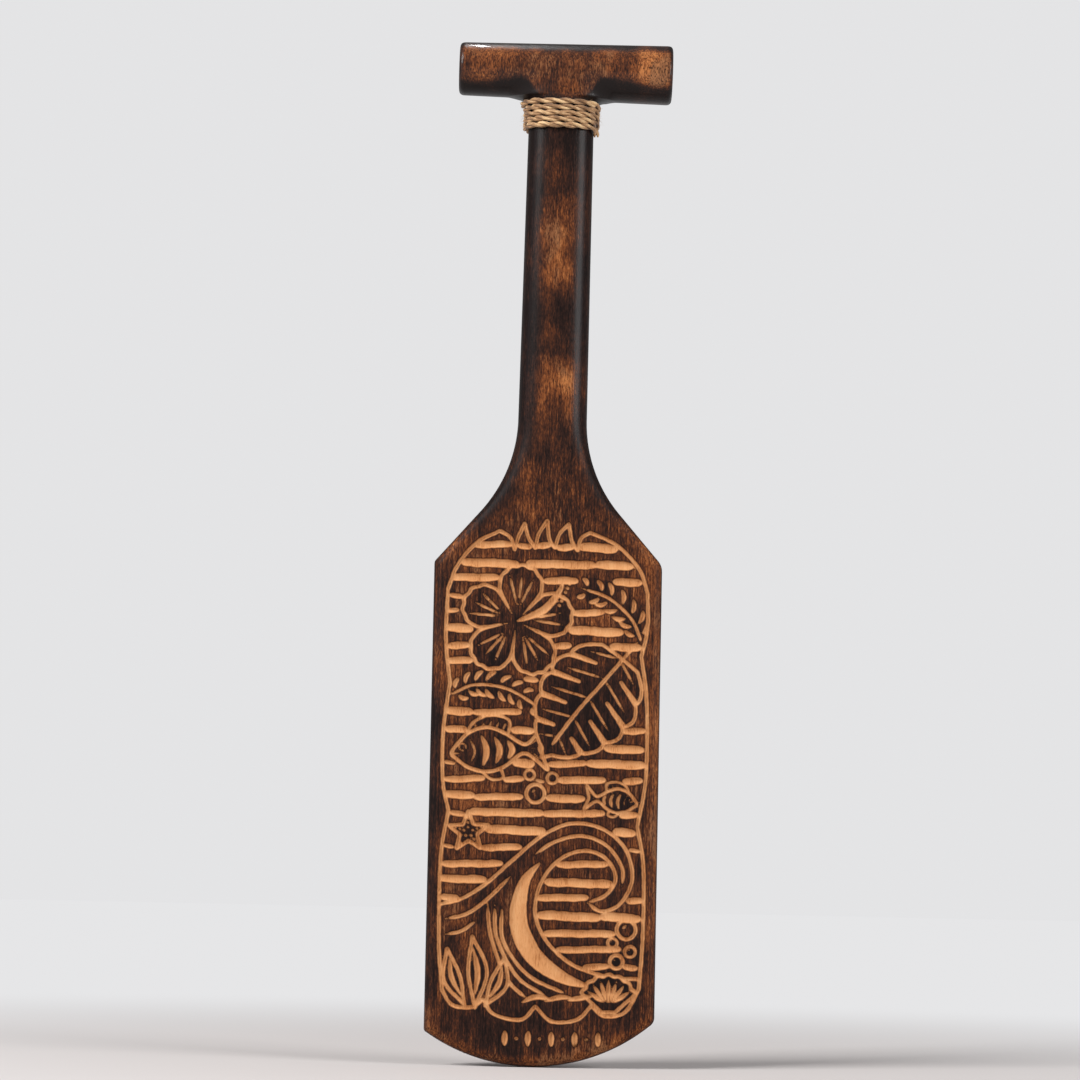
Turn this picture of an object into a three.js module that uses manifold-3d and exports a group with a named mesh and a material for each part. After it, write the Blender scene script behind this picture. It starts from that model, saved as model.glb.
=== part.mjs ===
// A carved wooden paddle with a T grip and a twisted-cord lashing, in millimetres.
// +Z runs up the paddle from the tip of the blade, +X is to the right as one looks at the
// carved face, and the carved face looks along -Y.
import * as THREE from "three";
import { mergeVertices } from "three/addons/utils/BufferGeometryUtils.js";
import Module from "manifold-3d";

const { clamp, degToRad, lerp, smoothstep } = THREE.MathUtils;

// Overall length and the blade's outline.
const overallLength = 500;
const bladeWidth = 111;
const tipRadius = 90; // the long arc across the foot of the blade
const tipOffset = 3.8; // its lowest point lies this far left of the middle
const shoulderHeight = 243; // where the straight sides end
const shoulderAngle = degToRad(41); // of the shoulder to the paddle's axis
const flareRadius = 70; // the hollow curve from the shoulder into the shaft

// The hand-rounded corners, which differ from side to side.
const leftTipCorner = 2;
const rightTipCorner = 5;
const leftShoulderCorner = 3;
const rightShoulderCorner = 8;

// Thickness of the blade, and how its edges are eased.
const bladeThickness = 14;
const edgeBand = 7; // width of the eased band inside the outline
const edgeFullness = 3; // exponent of the band's curve, 2 being an ellipse
const swellLength = 79; // the blade thickens into the shaft over this height from the shoulder up

// The shaft.
const shaftFootWidth = 33.6;
const shaftTopWidth = 32;
const shaftThickness = 25;
const shaftFullness = 2.5;
const shaftDrift = 2; // how far the hand-cut shaft leans to the right at its top

// The T grip.
const gripLength = 105;
const gripLeftRadius = 13.1;
const gripRightRadius = 14.6;
const gripTopFlat = 0.7; // depth of the flat planed along the palm side
const gripOffset = 1.8; // the bar sits this far right of the shaft's axis
const gripEndRound = 1.3;
const neckLength = 9; // from the joint to the underside of the bar
const neckFillet = 5; // where the neck runs out into the bar on both sides
const neckSwell = 1.1; // what the neck gains towards the front and the back

// The glued dowel joint between neck and shaft.
const dowelRadius = 5;
const dowelLength = 40;
const dowelChamfer = 1;
const glueGap = 0.3;

// The lashing: one cord wound down over the joint, with a short tail at the right front.
const cordDiameter = 2.5;
const cordTurns = 4.67;
const cordPitch = 2.95;
const cordClearance = 0.35; // between the cord and the wood
const tailDrop = 3.5;
const tailSweep = 0.045; // of a turn, while the tail bends down

// The carving, a generic seaside picture in flat-bottomed grooves.
const pictureMargin = 6.5; // between the picture and each side of the blade
const cutDepth = 1.25;
const cutOvershoot = 2; // how far the cutters stand out of the face
const grooveWidth = 2.2;
const fineGroove = 1.8;
const stripePitch = 8.1; // from one level stripe of water to the next
const stripeHeight = 4;
const stripeTaper = 4.5; // over which a stripe's end narrows
const stripeShortest = 4;
const stripeLongest = 34;
const stripeClearance = 1.2; // above and below, to the middle of a motif's outline

// How finely curves are faceted.
const edgeSteps = 5;
const tipSteps = 9;
const cornerSteps = 3;
const sideSteps = 4;
const flareSteps = 10;
const shaftSteps = 5;
const barSides = 40;
const barEndSteps = 2;
const neckSides = 40;
const neckSteps = 6;
const dowelSides = 24;
const cordSides = 6;
const stepsPerTurn = 24;
const tailSteps = 5;
const lineSteps = 2; // between two given points of a carved line
const petalSteps = 8;
const shellSteps = 8;
const bubbleSides = 10;

// The bar's top lies level, so its axis and its underside slope down to the thicker end.
const gripRadius = (gripLeftRadius + gripRightRadius) / 2;
const gripTaper = Math.asin((gripRightRadius - gripLeftRadius) / gripLength);
const barHeight = overallLength + gripTopFlat - gripRadius / Math.cos(gripTaper);
const jointHeight = barHeight - gripRadius - neckLength;

// The picture is drawn in units of its own, and is then stretched to its place on the blade.
const drawnAcross = 98;
const drawnShoulder = 243;
const pictureWidth = bladeWidth - 2 * pictureMargin;

// The hollow flare turns through the shoulder's angle, then runs straight to the corner.
const flareRise = flareRadius * Math.sin(shoulderAngle);
const flareSpread = flareRadius * (1 - Math.cos(shoulderAngle));
const shoulderSpread = (bladeWidth - shaftFootWidth) / 2 - flareSpread;
const flareTop = shoulderHeight + shoulderSpread / Math.tan(shoulderAngle) + flareRise;

const wasm = await Module();
wasm.setup();

// A closed three.js geometry as a solid that can be cut and joined. The faces at the poles of
// a revolved shape that have no area are left out.
function solidOf(geometry) {
  const bare = geometry.clone();
  bare.deleteAttribute("normal");
  bare.deleteAttribute("uv");
  const merged = mergeVertices(bare, 1e-4);
  const corners = merged.index.array;
  const faces = [];
  for (let i = 0; i < corners.length; i += 3) {
    const [a, b, c] = corners.slice(i, i + 3);
    if (a !== b && b !== c && c !== a) faces.push(a, b, c);
  }
  return new wasm.Manifold(
    new wasm.Mesh({
      numProp: 3,
      vertProperties: merged.attributes.position.array,
      triVerts: new Uint32Array(faces),
    }),
  );
}

// A solid as a three.js geometry.
function geometryOf(solid) {
  const { vertProperties, triVerts } = solid.getMesh();
  const geometry = new THREE.BufferGeometry();
  geometry.setAttribute("position", new THREE.BufferAttribute(new Float32Array(vertProperties), 3));
  geometry.setIndex(new THREE.BufferAttribute(new Uint32Array(triVerts), 1));
  geometry.computeVertexNormals();
  return geometry;
}

// Skins a stack of closed rings and closes both ends. Each ring runs anticlockwise as seen
// from above, starts on the right and is mirrored front to back. Where corners of a face
// fall together, only the triangle that is left is made.
function loft(rings) {
  const points = [];
  const addTriangle = (a, b, c) => {
    const same = 1e-6;
    if (a.distanceTo(b) < same || b.distanceTo(c) < same || c.distanceTo(a) < same) return;
    points.push(a, b, c);
  };
  const addCap = (ring, facesUp) => {
    const last = ring.length;
    for (let i = 0; i < last / 2; i += 1) {
      const across = [ring[i], ring[i + 1], ring[last - i - 1], ring[(last - i) % last]];
      const [a, b, c, d] = facesUp ? across : across.reverse();
      addTriangle(a, b, c);
      addTriangle(a, c, d);
    }
  };
  for (let row = 0; row + 1 < rings.length; row += 1) {
    const low = rings[row];
    const high = rings[row + 1];
    for (let i = 0; i < low.length; i += 1) {
      const next = (i + 1) % low.length;
      addTriangle(low[i], low[next], high[next]);
      addTriangle(low[i], high[next], high[i]);
    }
  }
  addCap(rings[0], false);
  addCap(rings[rings.length - 1], true);
  return new THREE.BufferGeometry().setFromPoints(points);
}

// Raises to a power and keeps the sign, for superellipses.
function signedPower(value, power) {
  return Math.sign(value) * Math.abs(value) ** power;
}

// How far the section has turned from the blade's into the shaft's, 0 to 1.
function slimness(height) {
  return smoothstep(height, shoulderHeight, shoulderHeight + swellLength);
}

function halfThickness(height) {
  return lerp(bladeThickness, shaftThickness, slimness(height)) / 2;
}

function shaftHalfWidth(height) {
  return lerp(shaftFootWidth, shaftTopWidth, (height - flareTop) / (jointHeight - flareTop)) / 2;
}

function drift(height) {
  return shaftDrift * Math.max(0, (height - shoulderHeight) / (jointHeight - shoulderHeight));
}

// Width of the eased band: narrow on the blade, and half the section on the shaft.
function bandWidth(height) {
  return lerp(edgeBand, shaftHalfWidth(height), slimness(height));
}

// A point of the outline, and the place where its eased band ends on the flat face.
function outlinePoint(x, z, normalAngle) {
  const band = bandWidth(z);
  return { x, z, innerX: x - band * Math.cos(normalAngle), innerZ: z - band * Math.sin(normalAngle) };
}

// A rounded corner between two straight stretches whose outward normals are given. Its
// points share one inner point, where the two bands meet in a mitre.
function outlineCorner(x, z, fromAngle, toAngle, radius) {
  const middle = (fromAngle + toAngle) / 2;
  const bend = (toAngle - fromAngle) / 2;
  const mitre = bandWidth(z) / Math.cos(bend);
  const centre = radius / Math.cos(bend);
  const points = [];
  for (let i = 0; i <= cornerSteps; i += 1) {
    const angle = lerp(fromAngle, toAngle, i / cornerSteps);
    points.push({
      x: x - centre * Math.cos(middle) + radius * Math.cos(angle),
      z: z - centre * Math.sin(middle) + radius * Math.sin(angle),
      innerX: x - mitre * Math.cos(middle),
      innerZ: z - mitre * Math.sin(middle),
    });
  }
  return points;
}

// One side's outline from the tip up to the joint, with x outwards. tipX is the lowest
// point's place, which is negative where that point lies beyond the middle.
function sideOutline(tipX, tipCorner, shoulderCorner) {
  const halfWidth = bladeWidth / 2;
  const footFacing = -Math.PI / 2;
  const tipAngle = Math.asin((halfWidth - tipX) / tipRadius);
  const tipCornerHeight = tipRadius * (1 - Math.cos(tipAngle));
  const cornerReach = tipCorner * Math.tan((Math.PI / 2 - tipAngle) / 2);
  const tipEnd = tipAngle - cornerReach / tipRadius;
  const points = [];
  for (let i = 0; i < tipSteps; i += 1) {
    const turn = (tipEnd * i) / tipSteps;
    const z = tipRadius * (1 - Math.cos(turn));
    points.push(outlinePoint(tipX + tipRadius * Math.sin(turn), z, footFacing + turn));
  }
  points.push(...outlineCorner(halfWidth, tipCornerHeight, footFacing + tipAngle, 0, tipCorner));
  for (let i = 1; i < sideSteps; i += 1) {
    points.push(outlinePoint(halfWidth, lerp(tipCornerHeight, shoulderHeight, i / sideSteps), 0));
  }
  points.push(...outlineCorner(halfWidth, shoulderHeight, 0, shoulderAngle, shoulderCorner));
  for (let i = 0; i <= flareSteps; i += 1) {
    const turn = shoulderAngle * (1 - i / flareSteps);
    const x = shaftFootWidth / 2 + flareRadius * (1 - Math.cos(turn));
    points.push(outlinePoint(x, flareTop - flareRadius * Math.sin(turn), turn));
  }
  for (let i = 1; i <= shaftSteps; i += 1) {
    const z = lerp(flareTop, jointHeight, i / shaftSteps);
    points.push(outlinePoint(shaftHalfWidth(z), z, 0));
  }
  return points;
}

// The eased band inwards from a point of the outline, from the edge to the flat of the face.
function bandCurve({ x, z, innerX, innerZ }) {
  const power = 2 / lerp(edgeFullness, shaftFullness, slimness(z));
  const quarter = [];
  for (let i = 0; i <= edgeSteps; i += 1) {
    const turn = (Math.PI / 2) * (i / edgeSteps);
    const inward = 1 - signedPower(Math.cos(turn), power);
    const height = lerp(z, innerZ, inward);
    const depth = halfThickness(height) * Math.sin(turn) ** power;
    quarter.push({ x: lerp(x, innerX, inward), depth, height });
  }
  return quarter;
}

// One ring of the blade and shaft, through a point of the outline on the right and one on
// the left.
function sectionRing(right, left) {
  const place = (side, face) => (p) =>
    new THREE.Vector3(drift(p.height) + side * p.x, face * p.depth, p.height);
  const rightBand = bandCurve(right);
  const leftBand = bandCurve(left);
  const outwards = (band) => band.slice(1).reverse();
  return [
    ...rightBand.map(place(1, 1)),
    ...outwards(leftBand).map(place(-1, 1)),
    ...leftBand.map(place(-1, -1)),
    ...outwards(rightBand).map(place(1, -1)),
  ];
}

// The bored hole for the dowel, on the joint plane of the grip's own frame.
function dowelBore() {
  const radius = dowelRadius + glueGap;
  const length = dowelLength + 2 * glueGap;
  return solidOf(new THREE.CylinderGeometry(radius, radius, length, dowelSides).rotateX(Math.PI / 2));
}

// Points of the drawing, turned and then moved to their place.
function posed(points, [x, y], degrees) {
  const origin = new THREE.Vector2();
  return points.map(([u, v]) => new THREE.Vector2(x, y).add(
    new THREE.Vector2(u, v).rotateAround(origin, degToRad(degrees)),
  ));
}

function drawn(points) {
  return posed(points, [0, 0], 0);
}

function polar(radius, angle) {
  return [radius * Math.cos(angle), radius * Math.sin(angle)];
}

// A smooth line through points.
function smooth(points, steps = lineSteps, closed = false) {
  const stops = points.map(({ x, y }) => new THREE.Vector3(x, y, 0));
  const spans = closed ? stops.length : stops.length - 1;
  const line = new THREE.CatmullRomCurve3(stops, closed, "catmullrom").getPoints(steps * spans);
  if (closed) line.pop();
  return line.map(({ x, y }) => new THREE.Vector2(x, y));
}

// The two edges of a groove along a line, with mitred corners.
function edges(points, widths, closed = false) {
  const count = points.length;
  const spans = closed ? count : count - 1;
  const headings = [];
  for (let i = 0; i < spans; i += 1) {
    headings.push(points[(i + 1) % count].clone().sub(points[i]).normalize());
  }
  const offsets = points.map((point, i) => {
    const into = headings[closed ? (i + count - 1) % count : Math.max(i - 1, 0)];
    const away = headings[Math.min(i, spans - 1)];
    const along = into.clone().add(away);
    return new THREE.Vector2(-along.y, along.x).setLength(widths[i] / along.length());
  });
  const edge = (side) => points.map((point, i) => point.clone().addScaledVector(offsets[i], side));
  return [edge(1), edge(-1)];
}

// A groove whose ends have the given shares of its width.
function groove(points, width = grooveWidth, [first, last] = [0.3, 0.3]) {
  const widths = points.map(() => width);
  widths[0] *= first;
  widths[widths.length - 1] *= last;
  const [left, right] = edges(points, widths);
  return new THREE.Shape([...left, ...right.reverse()]);
}

// A long scoop, widest in the middle.
function scoop(points, width, fullness = 1) {
  const least = 0.12;
  const widths = points.map((_, i) => {
    const share = i / (points.length - 1);
    return width * Math.max(Math.sin(Math.PI * share), least) ** fullness;
  });
  const [left, right] = edges(points, widths);
  return new THREE.Shape([...left, ...right.reverse()]);
}

// A groove round a closed line.
function ring(points, width = grooveWidth) {
  const [left, right] = edges(points, points.map(() => width), true);
  const grows = THREE.ShapeUtils.area(points) < 0;
  const shape = new THREE.Shape(grows ? left : right);
  shape.holes.push(new THREE.Path(grows ? right : left));
  return shape;
}

// Each motif gives the shapes of its cuts, and the outline of what it covers.
function hibiscus(at, radius, degrees) {
  const petals = 5;
  const halfPetal = Math.PI / petals;
  const rim = (angle) => {
    const swell = Math.sqrt(Math.abs(Math.cos((petals / 2) * angle)));
    return polar(radius * (0.5 + 0.5 * swell), angle);
  };
  const style = [[0, 0], [radius * 0.5, -2], [radius * 0.86, 1], [radius * 1.1, 5]];
  const styleWidth = 4.2;
  const styleTurn = 20;
  const cuts = [scoop(smooth(posed(style, at, degrees + styleTurn)), styleWidth, 0.5)];
  const cover = [];
  for (let petal = 0; petal < petals; petal += 1) {
    const middle = 2 * halfPetal * petal;
    const lobe = [];
    for (let i = 0; i <= petalSteps; i += 1) {
      lobe.push(rim(middle + halfPetal * Math.sin(Math.PI * (i / petalSteps - 0.5))));
    }
    const notch = [polar(radius * 0.16, middle + halfPetal), polar(radius * 0.5, middle + halfPetal)];
    cuts.push(groove(posed(lobe, at, degrees), grooveWidth, [1, 1]));
    cuts.push(groove(posed(notch, at, degrees), grooveWidth, [0.3, 1]));
    cover.push(...posed(lobe.slice(1), at, degrees));
  }
  return { cuts, cover };
}

// A broad leaf whose lobes are parted by slits on both sides of the midrib.
function splitLeaf(at, length, width, degrees, lobes = 5) {
  const margin = (u) => (width / 2) * Math.sin(Math.PI * Math.min(1, (0.04 + 0.96 * u) ** 0.75)) ** 0.6;
  const edge = (u, t, side) => [
    length * (u + (0.13 * margin(u)) / width),
    side * margin(u) * (0.93 + 0.1 * Math.sin(Math.PI * t)),
  ];
  const slit = (u, side) => [length * (u - 0.012), side * 0.36 * margin(u)];
  const root = [0.03 * length, 0];
  const tip = [1.06 * length, 0];
  const midrib = [[-9, 2], [length * 0.3, 0.6], [length * 0.6, -0.4], [length * 0.95, 0]];
  const cuts = [groove(smooth(posed(midrib, at, degrees)))];
  const borders = [1, -1].map((side) => {
    const border = [root];
    for (let lobe = 0; lobe < lobes; lobe += 1) {
      const line = [border[border.length - 1]];
      for (const t of [0.03, 0.35, 0.65, 0.93]) line.push(edge((lobe + t) / lobes, t, side));
      line.push(lobe < lobes - 1 ? slit((lobe + 1) / lobes, side) : tip);
      cuts.push(groove(posed(line, at, degrees), grooveWidth, [0.8, 0.8]));
      border.push(...line.slice(1));
    }
    return border;
  });
  return { cuts, cover: posed([...borders[0], ...borders[1].reverse()], at, degrees) };
}

function fish(at, length, degrees, flip, width) {
  const pose = (points) => posed(points.map(([u, v]) => [u * length, v * length * flip]), at, degrees);
  const steps = Math.round(length / 25);
  const body = smooth(pose([
    [0, -0.01], [0.07, 0.09], [0.2, 0.2], [0.38, 0.245], [0.56, 0.18], [0.72, 0.07], [0.8, 0.05],
    [0.9, 0.14], [1, 0.23], [0.96, 0.08], [0.93, 0], [0.96, -0.1], [1, -0.23], [0.88, -0.12],
    [0.78, -0.05], [0.7, -0.07], [0.54, -0.18], [0.36, -0.22], [0.18, -0.17], [0.06, -0.08],
  ]), steps, true);
  // The body's line is cut in three, from the nose to each tip of the tail and across it.
  const corners = [0, 8, 12, 20].map((stop) => stop * steps);
  const sides = [0, 1, 2].map((i) => [...body, body[0]].slice(corners[i], corners[i + 1] + 1));
  const backFin = [[0.16, 0.16], [0.24, 0.3], [0.42, 0.37], [0.62, 0.31], [0.6, 0.14]];
  const bellyFin = [[0.3, -0.2], [0.4, -0.3], [0.53, -0.29], [0.5, -0.17]];
  const bars = [[0.32, 0.17], [0.46, 0.145], [0.59, 0.1]];
  const onBody = bars.map(([u, reach]) =>
    scoop(smooth(pose([[u, -reach], [u + 0.05, 0], [u, reach]])), 0.075 * length, 0.6));
  const fins = [backFin, bellyFin].map((fin) => groove(smooth(pose(fin), steps), 0.85 * width, [1, 1]));
  return [
    { cuts: [...onBody, ...sides.map((side) => groove(side, width, [0.8, 0.8]))], cover: body },
    { cuts: fins, cover: smooth(pose(backFin), steps) },
    { cuts: [], cover: smooth(pose(bellyFin), steps) },
  ];
}

function star(at, radius, degrees) {
  const points = [];
  for (let i = 0; i < 10; i += 1) points.push(polar(i % 2 ? radius * 0.44 : radius, degToRad(36 * i)));
  const cover = posed(points, at, degrees);
  return { cuts: [ring(cover)], cover };
}

function shell(at, radius, degrees) {
  const points = [[-0.3 * radius, 3.2], [-0.3 * radius, -3.2]];
  for (let i = 0; i <= shellSteps; i += 1) {
    points.push(polar(0.97 * radius, degToRad(lerp(-70, 70, i / shellSteps))));
  }
  const cover = posed(points, at, degrees);
  return { cuts: [ring(cover)], cover };
}

function bubble(x, y, radius) {
  const points = [];
  for (let i = 0; i < bubbleSides; i += 1) points.push(polar(radius, (2 * Math.PI * i) / bubbleSides));
  const cover = posed(points, [x, y], 0);
  return { cuts: [ring(cover, radius > 3 ? grooveWidth : fineGroove)], cover };
}

// A stem with pairs of leaflets scooped out on both sides.
function frond(points, leaflets, reach) {
  const leafletWidth = 2.7;
  const stem = smooth(drawn(points), 12);
  const cuts = [groove(smooth(drawn(points)), fineGroove)];
  const tips = [1, -1].map((side) => {
    const ends = [];
    for (let i = 0; i < leaflets; i += 1) {
      const share = (i + 0.6) / leaflets;
      const at = Math.floor(share * (stem.length - 2));
      const ahead = stem[at + 1].clone().sub(stem[at]).normalize();
      const beside = new THREE.Vector2(-ahead.y, ahead.x).multiplyScalar(side);
      const size = reach * (0.5 + 0.6 * Math.sin(Math.PI * (0.2 + 0.7 * share)));
      const outwards = beside.clone().multiplyScalar(0.74).addScaledVector(ahead, 0.68);
      const tip = stem[at].clone().addScaledVector(outwards, size);
      const root = stem[at].clone().addScaledVector(beside, fineGroove).add(ahead);
      const bow = beside.clone().sub(ahead).multiplyScalar(0.6);
      cuts.push(scoop([root, root.clone().lerp(tip, 0.5).add(bow), tip], leafletWidth, 0.6));
      ends.push(tip.clone().add(ahead));
    }
    return ends;
  });
  return { cuts, cover: [stem[0], ...tips[0], stem[stem.length - 1], ...tips[1].reverse()] };
}

// A plain pointed leaf with a scooped vein.
function bladeLeaf(root, tip, bow, width) {
  const [start, end] = drawn([root, tip]);
  const length = start.distanceTo(end);
  const across = new THREE.Vector2(start.y - end.y, end.x - start.x).divideScalar(length);
  const middle = start.clone().lerp(end, 0.5).addScaledVector(across, bow);
  const sides = [1, -1].map((side) =>
    smooth([start, middle.clone().addScaledVector(across, (side * width) / 2), end]));
  const vein = smooth([start.clone().lerp(end, 0.14), middle, start.clone().lerp(end, 0.86)]);
  const margins = sides.map((side) => groove(side, grooveWidth, [0.7, 0.7]));
  const cuts = [...margins, scoop(vein, 0.36 * width, 0.7)];
  return { cuts, cover: [...sides[0], ...sides[1].slice(1, -1).reverse()] };
}

// Three low ridges of sand.
function sand() {
  const ridgeWidth = 3;
  const ridge = (i) => [[-9 + 11 * i, 30.5 + 0.8 * i], [-2 + 11 * i, 33.5], [6 + 10 * i, 32.5 + i]];
  return { cuts: [0, 1, 2].map((i) => scoop(smooth(drawn(ridge(i))), ridgeWidth, 0.6)), cover: [] };
}

// A breaking wave that rises from the left and curls over to the right.
function wave() {
  const back = smooth(drawn([
    [-48.5, 77], [-38, 80], [-26, 88], [-13, 100], [0, 111], [14, 117], [29, 114.5], [40, 105],
    [43.5, 91], [38, 79], [29, 75], [22, 79],
  ]));
  const face = smooth(drawn([
    [47, 43], [34, 43.5], [16, 49], [3, 60], [-3, 74], [0, 89], [9, 100], [21, 104], [31, 100],
    [35.5, 91], [31, 83], [22, 79],
  ]));
  const hollow = [[26, 38], [10, 43.5], [-4, 54], [-11, 70], [-8.5, 88], [0, 99]];
  const hollowWidth = 9.5;
  const crest = [[-4, 101.5], [6, 108], [19, 111], [31, 106.5], [38.5, 96], [38.5, 87]];
  const folds = [0, 1, 2].map((i) =>
    [[12 - 9 * i, 35.5 - 1.5 * i], [-6 - 5 * i, 44 - i], [-18 - 3 * i, 60 + i], [-19 - 3.5 * i, 76 + i]]);
  const swells = [
    [[-46, 70], [-36, 72.5], [-27, 79], [-15, 91]],
    [[-46, 62.5], [-38, 64.5], [-31, 69.5]],
  ];
  const cuts = [
    scoop(smooth(drawn(hollow)), hollowWidth, 0.75),
    ...[crest, ...folds, ...swells].map((line) => groove(smooth(drawn(line)))),
    groove(face, grooveWidth, [1, 0.3]),
    groove(back, grooveWidth, [1, 0.3]),
  ];
  const body = [...back, ...face.reverse(), ...drawn([[49, 20], [-49, 20]])];
  return { cuts, body };
}

// The picture's edge: shallow arcs down the sides, leaf tips at the top between the two
// shoulder arcs, and scallops across the foot.
function pictureEdge() {
  const turns = [
    [[-48.5, 229], [-48.9, 205], [-46.5, 184]],
    [[-46.5, 184], [-49.2, 160], [-48.8, 136], [-45.8, 122]],
    [[-45.8, 122], [-49, 100], [-49, 60], [-47, 36]],
    [[-47, 36], [-42, 29], [-33, 28], [-27, 32]],
    [[-27, 32], [-22, 25], [-9, 22.5], [-2, 29]],
    [[-2, 29], [6, 22], [18, 23], [25, 30]],
    [[25, 30], [31, 25], [41, 27], [47.5, 38]],
    [[47.5, 38], [49, 62], [48.8, 96], [45.5, 116]],
    [[45.5, 116], [49.2, 140], [49, 176], [46, 198]],
    [[46, 198], [48.8, 212], [48.5, 229]],
    [[48.5, 229], [44, 241], [33, 252], [20, 258]],
    [[20, 258], [15.5, 255], [14, 249]],
    [[14, 249], [11, 254], [9.5, 262]],
    [[9.5, 262], [5, 257], [3, 250]],
    [[3, 250], [0, 255], [-1, 263.5]],
    [[-1, 263.5], [-5, 257], [-6.5, 250]],
    [[-6.5, 250], [-10, 255], [-12, 262]],
    [[-12, 262], [-15, 255], [-16.5, 249]],
    [[-16.5, 249], [-19, 255], [-24, 258]],
    [[-24, 258], [-35, 252], [-44, 241], [-48.5, 229]],
  ];
  return turns.map((turn) => smooth(drawn(turn)));
}

// A row of diamonds across the foot.
function diamonds(middle, height) {
  const pitch = 11.2;
  const width = 3.4;
  const reach = 4;
  return [-2, -1, 0, 1, 2].map((i) => {
    const x = middle + pitch * i;
    return scoop(drawn([[x, height - reach], [x, height], [x, height + reach]]), width);
  });
}

// Where a level line crosses a closed outline, as pairs from left to right.
function crossings(outline, height) {
  const places = outline.flatMap((a, i) => {
    const b = outline[(i + 1) % outline.length];
    return a.y > height === b.y > height ? [] : [lerp(a.x, b.x, (height - a.y) / (b.y - a.y))];
  });
  places.sort((a, b) => a - b);
  return places.flatMap((place, i) => (i % 2 ? [] : [[place, places[i + 1]]]));
}

// The spans of a level line that lie inside the picture's edge and clear of every motif.
function freeSpans(edge, covers, height) {
  let free = crossings(edge, height);
  for (const cover of covers) {
    for (const aside of [-stripeClearance, 0, stripeClearance]) {
      for (const [low, high] of crossings(cover, height + aside)) {
        free = free.flatMap(([a, b]) => [[a, Math.min(b, low)], [Math.max(a, high), b]]);
        free = free.filter(([a, b]) => b > a);
      }
    }
  }
  return free;
}

// Level stripes of water in what the motifs leave free. Their unevenness is that of a hand,
// and changes gently across the blade.
function stripes(edge, covers) {
  const lowest = 24;
  const highest = 262;
  const shapes = [];
  for (let height = lowest; height < highest; height += stripePitch) {
    const sway = (x, phase) => Math.sin(0.2 * x + 0.3 * height + phase);
    for (const [a, b] of freeSpans(edge, covers, height)) {
      const from = a + 0.8 + 0.6 * sway(a, 0);
      const to = b - 0.8 - 0.6 * sway(b, 2);
      const parts = Math.ceil((to - from) / stripeLongest);
      const isEnd = (i) => i === 0 || i === parts;
      const stop = (i) => lerp(from, to, (isEnd(i) ? i : i + 0.3 * sway(i, 4)) / parts);
      for (let i = 0; i < parts; i += 1) {
        const gap = 0.7;
        const start = stop(i);
        const length = stop(i + 1) - start - gap;
        if (length < stripeShortest) continue;
        shapes.push(stripe(start, height + 0.5 * sway(start, 3), length, sway(start, 5)));
      }
    }
  }
  return shapes;
}

// One stripe, with blunt ends. lean, from -1 to 1, tilts and thickens it a little.
function stripe(x, y, length, lean) {
  const taper = Math.min(stripeTaper, length / 2.2);
  const tall = Math.min(stripeHeight * (1 + 0.14 * lean), length / 2);
  const stops = [0, 0.3 * taper, taper, length - taper, length - 0.3 * taper, length];
  const tilt = (along) => 0.4 * lean * Math.cos((Math.PI * along) / length);
  const points = stops.map((along) => new THREE.Vector2(x + along, y + tilt(along)));
  const widths = [0.35, 0.8, 1, 1, 0.8, 0.35].map((share) => share * tall);
  const [left, right] = edges(points, widths);
  return new THREE.Shape([...left, ...right.reverse()]);
}

// A flat shape as a cutter that sinks into the carved face and follows its swell.
function cutter(shape, extra = 0) {
  const depth = cutDepth + cutOvershoot + 2 * extra;
  const geometry = new THREE.ExtrudeGeometry(shape, { depth, bevelEnabled: false }).rotateX(Math.PI / 2);
  const places = geometry.attributes.position;
  for (let i = 0; i < places.count; i += 1) {
    const height = (places.getZ(i) * shoulderHeight) / drawnShoulder;
    const x = (places.getX(i) * pictureWidth) / drawnAcross + drift(height);
    places.setXYZ(i, x, places.getY(i) + cutDepth + extra - halfThickness(height), height);
  }
  return solidOf(geometry);
}

// All the cuts. A motif covers whatever comes after it.
function carving() {
  const motifs = [
    hibiscus([-15, 214], 27.5, 12),
    splitLeaf([37, 199], 60, 47, 233),
    star([-36, 112], 10, 20),
    ...fish([-45, 150], 46, 4, 1, grooveWidth),
    ...fish([45, 127], 25, 174, -1, fineGroove),
    frond([[-46, 178], [-34, 183], [-18, 181], [-2, 172]], 8, 8),
    frond([[46, 205], [41, 216], [30, 226], [16, 231]], 7, 8.5),
    bubble(-4, 131, 4.4),
    bubble(4, 138.5, 2.6),
    bubble(-7, 140, 2.4),
    bubble(41, 66.5, 4.6),
    bubble(34.5, 60, 2.3),
    bubble(43, 56, 2.6),
    bubble(36.5, 51, 3.2),
    bladeLeaf([-36, 29], [-45, 56], 2, 8),
    bladeLeaf([-31, 28], [-33, 62], -2, 9),
    bladeLeaf([-26, 29], [-17, 52], -2, 8),
    sand(),
    shell([33, 31], 14, 90),
  ];
  const { cuts: waveCuts, body } = wave();
  const edge = pictureEdge();
  const edgeCuts = edge.map((turn) => groove(turn, grooveWidth, [1, 1]));
  const covers = motifs.map((motif) => motif.cover).filter((cover) => cover.length > 0);
  const level = stripes(edge.flatMap((turn) => turn.slice(1)), [...covers, body]);
  let cuts = union([...level, ...diamonds(6, 13.6)]);
  let covered = union([]);
  for (const motif of [...motifs, { cuts: [...waveCuts, ...edgeCuts], cover: [] }]) {
    cuts = cuts.add(union(motif.cuts).subtract(covered));
    if (motif.cover.length > 0) covered = covered.add(cutter(new THREE.Shape(motif.cover), cutOvershoot));
  }
  return cuts;
}

function union(shapes) {
  return wasm.Manifold.union(shapes.map((shape) => cutter(shape)));
}

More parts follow.
